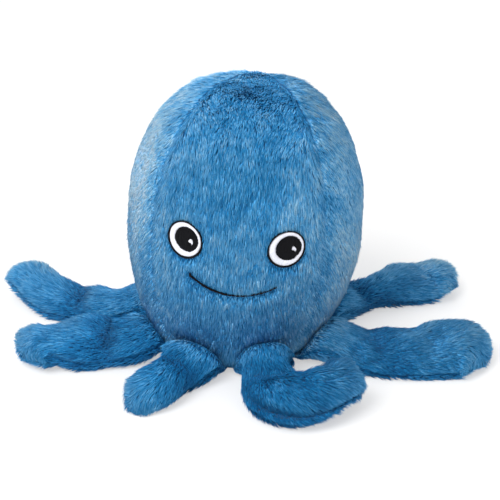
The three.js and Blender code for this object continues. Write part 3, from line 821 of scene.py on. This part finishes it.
def inside_cloth(half):
    """What is left inside the cloth of a half width or a half thickness. Where the arm is pressed thin, its
    cloth is pressed too."""
    return np.maximum(half - arm_cloth_thickness, half * pressed_share)


under_latitudes = np.linspace(-ring_angle, 0, 400)
under_radii = head_radius * np.cos(under_latitudes) ** (2 / head_lower_fullness)
under_heights = head_waist_height - lower_reach * np.sin(-under_latitudes) ** (2 / head_lower_fullness)


def under_head(points, clearance):
    """Points pushed down until they clear the underside of the head."""
    points = points.copy()
    lean = head_lean / (head_height - ring_height) * (points[..., 2] - ring_height)
    radius = np.hypot(points[..., 0] - lean, points[..., 1])
    ceiling = np.interp(radius, under_radii + clearance, under_heights, left=ring_height, right=1.0)
    points[..., 2] = np.minimum(points[..., 2], ceiling - clearance)
    return points


# The cloth is tucked in along the seam. A fold is shallower from below, the cloth swells beside it, and it
# counts as full at a depth of its own. A crease fades out at its ends. The nap leans out to the seam, and more
# so round the tip, where it fans out.
seam_tuck, tuck_reach = 0.09, 0.3
lower_fold_share = 0.25
fold_swell, fold_swell_place, fold_swell_reach = 0.5, 1.4, 1.7
full_fold, fold_shadow_place = 0.3, 0.3
crease_end, crease_reach = 0.1, 0.13
nap_to_edge, nap_fan, shorter_at_tip, tip_fan_reach = 0.5, 0.9, 0.3, 1.5


def crease(along, across, place, depth, start, end):
    """How deep the cloth lies in a crease along the arm, which fades out at both its ends."""
    there = ramp(along, start - crease_end, start + crease_end)
    there = there * (1 - ramp(along, end - crease_end, end + crease_end))
    return depth * there * np.exp(-((across - place) / crease_reach) ** 2)


def half_loops(pose, line, side, columns, inset=None):
    """Grid of half sections of the flat arm, above its sewn edge or below it, from one edge to the other."""
    distances, point, across, out, width, thickness = line
    length = arm_length * pose["reach"]
    if inset is not None:
        width, thickness = inside_cloth(width) - inset, inside_cloth(thickness) - inset
    edge = np.arcsin(np.clip(sewing_gap / 2 / np.maximum(thickness, 1e-6), 0, 1))[:, None]
    angle = edge + (math.pi - 2 * edge) * np.linspace(0, 1, columns)[None, :]
    angle = angle if side > 0 else angle[:, ::-1]
    tucked = 1 - seam_tuck * np.exp(-(np.sin(angle) / tuck_reach) ** 2)
    sideways = width[:, None] * np.cos(angle) * tucked
    upwards = side * thickness[:, None] * np.sin(angle)
    for share, slant, depth, reach in pose["folds"]:
        depth = depth if side > 0 else lower_fold_share * depth
        past = (distances[:, None] - share * length - slant * sideways) / reach
        swell_beside = np.exp(-(past / fold_swell_reach - fold_swell_place) ** 2)
        upwards = upwards * (1 - depth * np.exp(-past**2) + fold_swell * depth * swell_beside)
    along = (distances / length)[:, None]
    for place, depth, start, end in pose.get("creases", ()) if side > 0 else ():
        upwards = upwards * (1 - crease(along, np.cos(angle), place, depth, start, end))
    return point[:, None] + sideways[..., None] * across[:, None] + upwards[..., None] * out[:, None]


def in_folds(pose, line, columns):
    """How deep each place of the upper cloth lies in a fold or a crease, from 0 to 1."""
    distances, width = line[0], line[4]
    length = arm_length * pose["reach"]
    across = np.cos(np.linspace(0, math.pi, columns))[None, :]
    deep = np.zeros((len(distances), columns))
    for share, slant, depth, reach in pose["folds"]:
        past = (distances[:, None] - share * length - slant * width[:, None] * across) / reach
        deep = np.maximum(deep, depth / full_fold * np.exp(-(past - fold_shadow_place) ** 2))
    along = (distances / length)[:, None]
    for place, depth, start, end in pose.get("creases", ()):
        deep = np.maximum(deep, crease(along, across, place, depth / full_fold, start, end))
    return np.minimum(deep, 1)


def arm_nap(pose, line, facing, columns):
    """The way that the pile lies: towards the tip, out to the sewn edge, and fanned out round the tip."""
    distances, _, across, out, _, _ = line
    length = arm_length * pose["reach"]
    at_tip = ramp(distances, length - tip_fan_reach * arm_tip_length, length)[:, None]
    aside = np.cos(np.linspace(0, math.pi, columns))[None, :] * (nap_to_edge + nap_fan * at_tip)
    aside = aside + spread(pose["comb"], np.clip(distances / length, 0, 1))[:, None]
    heading = np.cross(across, out)[:, None]
    nap = heading * (1 - shorter_at_tip * at_tip)[..., None] + aside[..., None] * across[:, None]
    return unit(nap - facing * np.sum(nap * facing, -1, keepdims=True))


# The arm's cloth as it is blown up: a little larger than its pattern, held in part by the filling, more by the
# seam, and all along the sewn root.
cloth_point_mass, cloth_stiffness, filling_pressure, cloth_ease = 0.1, 3.0, 4.0, -0.02
swelling_steps, smoothings, most_swollen = 20, 3, 0.003
held_by_filling, held_by_seam, sewn_root_length = 0.12, 0.6, 0.008


def swell(skins, held, cap):
    """Blows closed skins of cloth up over their filling, and gives how far each of their points then moved.

    The cloth has a little more length than the filling needs, so it lies in soft bumps and creases."""
    scene = bpy.context.scene
    pieces = []
    for skin, weights in zip(skins, held):
        piece = add_mesh("skin", *closed_tube(skin))
        group = piece.vertex_groups.new(name="held")
        for level in np.unique(weights):
            group.add(np.flatnonzero(weights.ravel() == level).tolist(), float(level), "REPLACE")
        cloth = piece.modifiers.new("cloth", "CLOTH")
        cloth.settings.mass = cloth_point_mass
        cloth.settings.bending_stiffness = cloth_stiffness
        cloth.settings.use_pressure = True
        cloth.settings.uniform_pressure_force = filling_pressure
        cloth.settings.shrink_min = cloth_ease
        cloth.settings.vertex_group_mass = "held"
        cloth.settings.effector_weights.gravity = 0.0
        cloth.collision_settings.use_collision = False
        pieces.append(piece)
    for step in range(1, swelling_steps + 1):
        scene.frame_set(step)
    depsgraph = bpy.context.evaluated_depsgraph_get()
    moves = []
    for skin, piece in zip(skins, pieces):
        mesh = piece.evaluated_get(depsgraph).to_mesh()
        places = np.empty(len(mesh.vertices) * 3, np.float32)
        mesh.vertices.foreach_get("co", places)
        move = places.reshape(skin.shape) - skin
        for _ in range(smoothings):
            move = (2 * move + np.roll(move, 1, 1) + np.roll(move, -1, 1)) / 4
            move[1:-1] = (2 * move[1:-1] + move[:-2] + move[2:]) / 4
        far = np.linalg.norm(move, axis=-1, keepdims=True)
        moves.append(move * cap / np.maximum(far, cap))
    for piece in pieces:
        bpy.data.meshes.remove(piece.data)
    scene.frame_set(1)
    return moves


# The pile of the arms is worn at the root, at the seam, in folds, on the slope that faces the head and where it
# lies on the floor. Its colour has painted shade at the seam, below and in folds, painted light at the root
# against the head's shadow and a painted sheen on the far side, and it is paler at the tip.
upper_pile = {"Strand Width": 0.0006, "Strands per Area": 2.3e6}
lower_pile = {"Strand Width": 0.0006, "Strands per Area": 1.7e6, "Standing": 0.4}
root_growth, growing_from_root = 0.3, (0.004, 0.018)
edge_growth, edge_growth_width = 0.65, 0.005
fold_wear = 0.35
head_wear, head_contact, head_slopes = 0.93, (0.022, 0.032), (0.05, 0.35)
floor_growth, floor_slopes = 0.45, (-0.98, -0.6)
arm_seam_painted_shade, arm_seam_shade_width = 0.26, 0.004
underside_painted_shade, fold_painted_shade = 0.1, 0.32
tip_tone, tip_places = 0.28, (0.5, 1)
root_painted_light, root_light_reach = 0.3, (0.008, 0.04)
far_least_width, far_places, far_onward = 0.004, (-0.6, 0.5), (0.25, 0.5)
filled_share, cushion_half_columns, cushion_inset = 0.27, 13, 0.0015
bending_rings = (0.057, 0.086)
arm_rows, arm_columns = 44, 25
root_rows, tip_rows = (-0.97, -0.7), np.sin(np.linspace(0.14, 1.5, 13))
arms, skins, holds = [], [], []
for index, (name, pose) in enumerate(arm_poses.items()):
    azimuth = face_turn + (index + 0.5) * 2 * math.pi / len(arm_poses)
    straight = arm_length * pose["reach"] - arm_tip_length
    distances = np.concatenate([
        np.array(root_rows) * arm_root_thickness / 2,
        np.linspace(0, straight, arm_rows), straight + tip_rows * arm_tip_length,
    ])
    line = arm_line(pose, azimuth, distances)
    upper, lower = (half_loops(pose, line, side, arm_columns) for side in (1, -1))
    skin = np.concatenate([upper, lower[:, 1:-1]], 1)
    held = np.full(skin.shape[:2], held_by_filling)
    held[:, [0, arm_columns - 1]] = held_by_seam
    held[distances < sewn_root_length] = 1
    arms.append((name, pose, azimuth, line))
    skins.append(skin)
    holds.append(held)
moves = [np.zeros_like(skin) for skin in skins]
moves = swell(skins, holds, most_swollen)

for index, ((name, pose, azimuth, line), move) in enumerate(zip(arms, moves)):
    distances, middle_line, _, _, half_width, half_thickness = line
    along = distances / distances[-1]
    swollen = {1: move[:, :arm_columns], -1: np.concatenate([move[:, arm_columns - 1:], move[:, :1]], 1)}
    outward = Vector((math.sin(azimuth), -math.cos(azimuth), 0))
    held = [ring * outward + Vector((0, 0, hinge_height)) for ring in bending_rings]
    for side, part, node in ((1, "upper", "upper_cover"), (-1, "lower", "lower_cover")):
        is_upper = side > 0
        outside = under_head(half_loops(pose, line, side, arm_columns) + swollen[side], fit_gap)
        inside = under_head(half_loops(pose, line, side, arm_columns, 0.0) + swollen[side], 2 * fit_gap)
        outside[..., 2] = np.maximum(outside[..., 2], arm_floor_gap)
        inside[..., 2] = np.maximum(inside[..., 2], 2 * arm_floor_gap)
        facing = unit(np.cross(np.gradient(outside, axis=1), np.gradient(outside, axis=0)))
        nap = arm_nap(pose, line, facing, arm_columns)
        from_edge = np.minimum(np.arange(arm_columns), np.arange(arm_columns)[::-1]) / (arm_columns - 1)
        from_edge = np.broadcast_to(from_edge, outside.shape[:2]) * 2 * half_width[:, None]
        deep = in_folds(pose, line, arm_columns) if is_upper else np.zeros_like(from_edge)

        at_root = ramp(distances, *growing_from_root)[:, None]
        growth = root_growth + (1 - root_growth) * at_root * np.ones(arm_columns)
        growth = growth * (edge_growth + (1 - edge_growth) * ramp(from_edge, 0.0, edge_growth_width))
        growth = growth * (1 - fold_wear * deep)
        at_head = (1 - ramp(distances, *head_contact))[:, None]
        towards_head = -np.sum(facing[..., :2] * unit(outside[..., :2]), -1)
        growth = growth * (1 - head_wear * at_head * ramp(towards_head, *head_slopes))
        growth = growth * (floor_growth + (1 - floor_growth) * ramp(facing[..., 2], *floor_slopes))

        # Painted shade darkens the seam, the lower cloth and the folds, painted light lifts the root out of the
        # head's shadow, and a painted sheen pales the far side; the tip is paler.
        tone = pose["tone"] - arm_seam_painted_shade * (1 - ramp(from_edge, 0.0, arm_seam_shade_width))
        tone = tone - (0.0 if is_upper else underside_painted_shade) + tip_tone * ramp(along, *tip_places)[:, None]
        tone = tone + root_painted_light * (1 - ramp(distances, *root_light_reach))[:, None] - fold_painted_shade * deep
        far = (outside[..., 1] - middle_line[:, None, 1]) / np.maximum(half_width, far_least_width)[:, None]
        tone = tone + pose["far_painted_sheen"] * ramp(far, *far_places) * ramp(along, *far_onward)[:, None]

        piece = add_mesh(f"{name}_{part}_plush", *sheet_between(outside, inside))
        ones = np.ones_like(growth)
        set_numbers(piece, **on_outside(nap=nap, growth=growth, closeness=ones, stir=ones, tone=tone))
        grow_pile(piece, Seed=20 + 2 * index + is_upper, **(upper_pile if is_upper else lower_pile))
        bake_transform(piece)
        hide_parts(f"{name}_{node}")
    filled = half_thickness > arm_thickness * filled_share
    core = [part[filled] for part in line]
    upper, lower = (half_loops(pose, core, side, cushion_half_columns, cushion_inset) for side in (1, -1))
    loops = under_head(np.concatenate([upper, lower], 1), 3 * fit_gap)
    cushion = add_mesh(f"{name}_cushion", *closed_tube(loops), fibre_filling)
    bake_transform(cushion)
    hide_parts(f"{name}_filling")

# Eyes. Discs of satin stitch sewn on the face with shiny thread: a black outline that is thicker below, a
# white ring sewn from the inside out, a black pupil of upright stitches and a small white highlight. Each is
# a dense layer of threads over a low pad of the same thread, and stands a little proud of the cloth.
thread_height = 0.0011
pad_height = 0.0007
thread_gap = 0.00035
thread_width = 0.0005
thread_unevenness = 0.00008
# Painted shade in the hollows of the thread's twist: how dark its darkest mottles are, as a share of its
# colour.
twist_painted_shade = 0.7


def make_thread(name, colour, roughness, gloss):
    """Shiny sewing thread, mottled darker by a fine noise, a painted shade in the hollows of its twist."""
    thread, tree, shader = start_material(name, roughness, gloss)
    dark = [twist_painted_shade * part for part in colour]
    add_mottled_colour(tree, shader, {"Scale": 1500.0, "Detail": 3.0}, dark, colour)
    return thread


def make_stitch_tree():
    """Thread that runs along each line of a mesh, a little thicker in some stitches than in others."""
    tree, given = start_tree("sewn_thread", {
        "Pad": "Object", "Thread Width": "Float", "Unevenness": "Float", "Seed": "Int", "Material": "Material",
    })
    lines = add_node(tree, "GeometryNodeMeshToCurve", {"Mesh": given["Geometry"]}).outputs[0]
    change = add_node(tree, "FunctionNodeRandomValue",
                      {2: -0.5, 3: 0.5, "ID": named_number(tree, "stitch", "INT"), "Seed": given["Seed"]},
                      data_type="FLOAT").outputs[1]
    change = number_math(tree, "MULTIPLY", change, given["Unevenness"])
    change = number_math(tree, "ADD", change, named_number(tree, "thickness"))
    profile = add_node(tree, "GeometryNodeCurvePrimitiveCircle", {"Resolution": 6}, mode="RADIUS")
    tree.links.new(number_math(tree, "MULTIPLY", given["Thread Width"]), profile.inputs["Radius"])
    sewn = add_node(tree, "GeometryNodeCurveToMesh",
                    {"Curve": lines, "Profile Curve": profile.outputs[0], "Scale": change, "Fill Caps": True})
    pad = add_node(tree, "GeometryNodeObjectInfo", {"Object": given["Pad"]}).outputs["Geometry"]
    return finish_tree(tree, (sewn.outputs[0], pad), given["Material"])


threads = {
    "black_thread": make_thread("black_thread", (0.003, 0.003, 0.005), 0.5, 0.12),
    "white_thread": make_thread("white_thread", (0.86, 0.87, 0.95), 0.42, 0.35),
}
stitch_tree = make_stitch_tree()
sewing = np.random.default_rng(5)


def face_point(across, height, above):
    """A point over the face, from its distance across the face and its height."""
    share = np.abs(height - head_waist_height) / np.where(height >= head_waist_height, upper_reach, lower_reach)
    full = np.where(height >= head_waist_height, head_upper_fullness, head_lower_fullness)
    latitude = np.sign(height - head_waist_height) * np.arcsin(np.clip(share, 0, 1) ** (full / 2))
    return head_point(across / (head_radius * np.cos(latitude) ** (2 / full)), latitude, above, 0)


def sew(name, starts, ends, pad, slot, thickness=None, width=thread_width, unevenness=0.3, points=7):
    """Sews straight stitches between places of the face, over a pad, as one plain mesh."""
    starts, ends = np.asarray(starts, float), np.asarray(ends, float)
    share = np.linspace(0, 1, points)
    spots = starts[:, None] + (ends - starts)[:, None] * share[None, :, None]
    above = thread_gap + thread_height * np.minimum(1, np.minimum(share, 1 - share) * 5) ** 0.6
    uneven = sewing.uniform(-1, 1, (len(starts), 1)) * thread_unevenness
    places = face_point(spots[..., 0], spots[..., 1], np.broadcast_to(above, spots.shape[:2]) + uneven)
    index = np.arange(len(starts) * points).reshape(-1, points)
    mesh = bpy.data.meshes.new(name)
    edges = np.stack([index[:, :-1], index[:, 1:]], -1).reshape(-1, 2)
    mesh.from_pydata(places.reshape(-1, 3).tolist(), edges.tolist(), [])
    piece = add_object(name, mesh)
    thickness = np.ones((len(starts), points)) if thickness is None else thickness
    set_numbers(piece, thickness=np.broadcast_to(thickness, (len(starts), points)).ravel())
    stored = mesh.attributes.new("stitch", "INT", "POINT")
    stored.data.foreach_set("value", np.repeat(np.arange(len(starts)), points).astype(np.int32))
    pad_piece = add_mesh(name + "_pad", *pad)
    apply_tree(piece, stitch_tree, {
        "Pad": pad_piece, "Thread Width": width, "Unevenness": unevenness, "Seed": 3, "Material": threads[slot],
    }, ("stitch", "thickness"))
    bpy.data.meshes.remove(pad_piece.data)
    piece.data.shade_smooth()
    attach(piece, "head")
    return piece


def round_spots(centre, radius, angle):
    return np.asarray(centre) + np.stack([np.cos(angle), np.sin(angle)], -1) * np.asarray(radius)[..., None]


def ring_pad(outer, inner):
    """The closed form of a flat ring of thread between two round lines of places on the face."""
    loops = []
    for share, above in ((0, 0.0), (0, 0.75), (0.2, 1.0), (0.8, 1.0), (1, 0.75), (1, 0.0)):
        spot = outer * (1 - share) + inner * share
        loops.append(face_point(spot[:, 0], spot[:, 1], thread_gap + above * pad_height))
    rows, columns = len(loops), len(outer)
    last = (rows - 1) * columns + np.arange(columns)
    first = np.arange(columns)
    close = np.stack([last, np.roll(last, -1), np.roll(first, -1), first], -1)
    faces = np.concatenate([grid_faces(rows, columns, is_ring=True), close])
    return np.stack(loops).reshape(-1, 3), faces


def dot_pad(centre, radius, columns=24):
    """The closed form of a small round of thread."""
    angle = np.linspace(0, 2 * math.pi, columns, endpoint=False)
    loops = []
    for share, above in ((1, 0.0), (1, 0.75), (0.75, 1.0), (0.2, 1.05)):
        spot = round_spots(centre, np.full(columns, share * radius), angle)
        loops.append(face_point(spot[:, 0], spot[:, 1], thread_gap + above * pad_height))
    return closed_tube(np.stack(loops))


white_radius, pupil_radius, highlight_radius = 0.0119, 0.0086, 0.0014
pupil_shift, highlight_shift = (0.0013, 0.0005), (0.0032, -0.0006)
outline_count, outline_thread, outline_slant = 190, 0.00045, 0.03
outline_least, outline_more, outline_lean, outline_heavy = 0.00045, 0.0006, 0.25, (-0.7, 0.5)
white_count, white_thread, white_slant = 170, 0.00048, 0.05
ring_raggedness, pupil_raggedness = 0.00012, 0.0002
outline_overlap, white_inset, pad_inset = 0.0001, 0.0003, 0.0002
pupil_thread, pupil_spacing, pupil_inset, pupil_slant = 0.00052, 0.00044, 0.0004, 0.0003
pupil_tops, pupil_bottoms = (-0.0009, 0.0006), (-0.0005, 0.0005)
highlight_gap, highlight_slant, highlight_pad = 0.0003, 0.0003, 0.8
highlight_places = np.linspace(-0.0012, 0.0014, 7)
highlight_tops = np.array([0.0004, 0.0012, 0.0016, 0.0015, 0.0012, 0.0009, 0.0003])
highlight_bottoms = np.array([-0.0004, -0.0011, -0.0012, -0.0013, -0.0019, -0.0026, -0.0016])
pad_sides = 72
around = np.linspace(0, 2 * math.pi, pad_sides, endpoint=False)


def round_of_pad(centre, radius):
    return round_spots(centre, np.full(pad_sides, radius), around)


for side_name, side in (("left", -1), ("right", 1)):
    centre = np.array([side * eye_spacing / 2, eye_height])
    pupil_centre = centre + pupil_shift
    highlight_centre = pupil_centre + highlight_shift

    angle = np.linspace(0, 2 * math.pi, outline_count, endpoint=False)
    lower = -np.sin(angle) + outline_lean * side * np.cos(angle)
    thick = outline_least + outline_more * ramp(lower, *outline_heavy)
    reach = white_radius + thick + sewing.uniform(-1, 1, outline_count) * ring_raggedness
    starts = round_spots(centre, np.full(outline_count, white_radius - outline_overlap), angle)
    ends = round_spots(centre, reach, angle + outline_slant)
    pad = ring_pad(round_spots(centre, np.interp(around, angle, white_radius + thick - pad_inset), around),
                   round_of_pad(centre, white_radius - pad_inset))
    piece = sew(f"{side_name}_eye_outline_stitches", starts, ends, pad, "black_thread", width=outline_thread,
                points=5)
    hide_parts(f"{side_name}_eye_outline")

    angle = np.linspace(0, 2 * math.pi, white_count, endpoint=False)
    reach = pupil_radius + sewing.uniform(-1, 1, white_count) * pupil_raggedness
    starts = round_spots(pupil_centre, reach, angle)
    reach = white_radius - white_inset + sewing.uniform(-1, 1, white_count) * ring_raggedness
    ends = round_spots(centre, reach, angle + white_slant)
    pad = ring_pad(round_of_pad(centre, white_radius - fit_gap), round_of_pad(pupil_centre, pupil_radius))
    piece = sew(f"{side_name}_eye_white_stitches", starts, ends, pad, "white_thread", width=white_thread)
    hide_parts(f"{side_name}_eye_white")

    starts, ends = [], []
    level = highlight_centre[1] - pupil_centre[1]
    for x in np.arange(-pupil_radius + pupil_inset, pupil_radius - pupil_slant, pupil_spacing):
        reach = math.sqrt(pupil_radius**2 - x**2)
        top = reach + sewing.uniform(*pupil_tops)
        bottom = -reach + sewing.uniform(*pupil_bottoms)
        from_highlight = x + pupil_centre[0] - highlight_centre[0]
        cuts = [(bottom, top)]
        if abs(from_highlight) < highlight_radius:
            half = math.sqrt(highlight_radius**2 - from_highlight**2) + highlight_gap
            cuts = [(bottom, level - half), (level + half, top)]
        for low_end, high_end in cuts:
            starts.append(pupil_centre + (x, low_end))
            ends.append(pupil_centre + (x + pupil_slant, high_end))
    pad = ring_pad(round_of_pad(pupil_centre, pupil_radius - pupil_inset),
                   round_of_pad(highlight_centre, highlight_radius + pad_inset))
    piece = sew(f"{side_name}_eye_pupil_stitches", starts, ends, pad, "black_thread", width=pupil_thread,
                points=11)
    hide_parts(f"{side_name}_eye_pupil")

    starts = highlight_centre + np.stack([highlight_places + highlight_slant, highlight_bottoms], -1)
    ends = highlight_centre + np.stack([highlight_places, highlight_tops], -1)
    pad = dot_pad(highlight_centre, highlight_radius * highlight_pad)
    piece = sew(f"{side_name}_eye_highlight_stitches", starts, ends, pad, "white_thread", points=5)
    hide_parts(f"{side_name}_eye_highlight")

# Smile. One line of black thread in back stitches of uneven length and tightness, from cheek to cheek, with a
# small knot of crossed stitches where it starts. Its pad is the hidden thread of the underside, close to it.
smile_stitches, stitch_lengths, stitch_overlap = 20, (0.8, 1.25), 0.006
smile_thread, smile_pad_half, smile_pad_points = 0.00092, 0.0003, 60
tightness, start_tightness, looser_end, looser_places = (0.5, 1.4), 1.05, 0.35, (0.3, 1)
knot_starts, knot_ends, knot_tightness = ((-1.01, -0.99), 0.0008), ((-0.98, -1.0), -0.0009), (0.8, 0.8)
stitch_ends = np.cumsum(sewing.uniform(*stitch_lengths, smile_stitches))
stitch_ends = np.concatenate([[0], stitch_ends]) / stitch_ends[-1] * 2 - 1


def smile_spot(share, aside=0.0):
    """A place of the smile's line, from -1 to 1 along it, and how far above the line."""
    share = np.asarray(share, float)
    x, z = share * smile_width / 2, aside - smile_sag * (1 - share**2)
    turned = x * math.cos(smile_tilt) + z * math.sin(smile_tilt)
    return np.stack([turned, z * math.cos(smile_tilt) - x * math.sin(smile_tilt) + smile_height], -1)


starts = np.concatenate([smile_spot(stitch_ends[:-1] - stitch_overlap), smile_spot(*knot_starts)])
ends = np.concatenate([smile_spot(stitch_ends[1:] + stitch_overlap), smile_spot(*knot_ends)])
tight = sewing.uniform(*tightness, len(starts))
looser = start_tightness - looser_end * ramp(stitch_ends[:-1], *looser_places)
tight = tight * np.concatenate([looser, knot_tightness])
share = np.linspace(-1, 1, smile_pad_points)
loops = []
for place, above in ((-1, 0.0), (-0.9, 0.7), (0, 1.0), (0.9, 0.7), (1, 0.0), (0, -0.1)):
    spot = smile_spot(share, place * smile_pad_half)
    loops.append(face_point(spot[:, 0], spot[:, 1], thread_gap + above * pad_height))
smile = sew("smile_stitches", starts, ends, closed_tube(np.stack(loops, 1)), "black_thread",
            thickness=tight[:, None], width=smile_thread, unevenness=0.0, points=8)
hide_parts("smile")

# Floor and light. A plain pale floor, and the soft even light of a studio with its large lamp above and to
# the left.
floor_material, tree, shader = start_material("pale_floor", 0.9, 0.1)
shader.inputs["Base Color"].default_value = (0.92, 0.92, 0.92, 1)
paper = add_node(tree, "ShaderNodeEmission", {"Color": (1, 1, 1, 1), "Strength": 1.0}).outputs[0]
seen = add_node(tree, "ShaderNodeLightPath").outputs["Is Camera Ray"]
bright = add_node(tree, "ShaderNodeMixShader", {0: number_math(tree, "MULTIPLY", seen, 0.5)})
tree.links.new(shader.outputs[0], bright.inputs[1])
tree.links.new(paper, bright.inputs[2])
tree.links.new(bright.outputs[0], tree.nodes["Material Output"].inputs["Surface"])
floor = add_mesh("floor", [(-6, -6, 0), (6, -6, 0), (6, 6, 0), (-6, 6, 0)], [(0, 1, 2, 3)], floor_material)
floor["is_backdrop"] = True

world = bpy.data.worlds.new("studio")
bpy.context.scene.world = world
world.use_nodes = True
tree = world.node_tree
room = tree.nodes["Background"]
room.inputs["Color"].default_value = (1, 1, 1, 1)
room.inputs["Strength"].default_value = 0.9
backdrop = add_node(tree, "ShaderNodeBackground", {"Color": (1, 1, 1, 1), "Strength": 1.0})
path = tree.nodes.new("ShaderNodeLightPath").outputs
seen = number_math(tree, "MAXIMUM", path["Is Camera Ray"], path["Is Glossy Ray"])
seen = number_math(tree, "MAXIMUM", seen, path["Is Transmission Ray"])
both = add_node(tree, "ShaderNodeMixShader", {0: seen, 1: room.outputs[0], 2: backdrop.outputs[0]})
tree.links.new(both.outputs[0], tree.nodes["World Output"].inputs["Surface"])

lamp_data = bpy.data.lights.new("large_lamp", "AREA")
lamp_data.shape = "DISK"
lamp_data.size = 1.4
lamp_data.energy = 38
aim(add_object("large_lamp", lamp_data), (-0.9, -1.1, 1.7), Vector((0, 0, 0.08)))

bpy.context.scene.view_settings.view_transform = "Standard"

low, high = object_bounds()
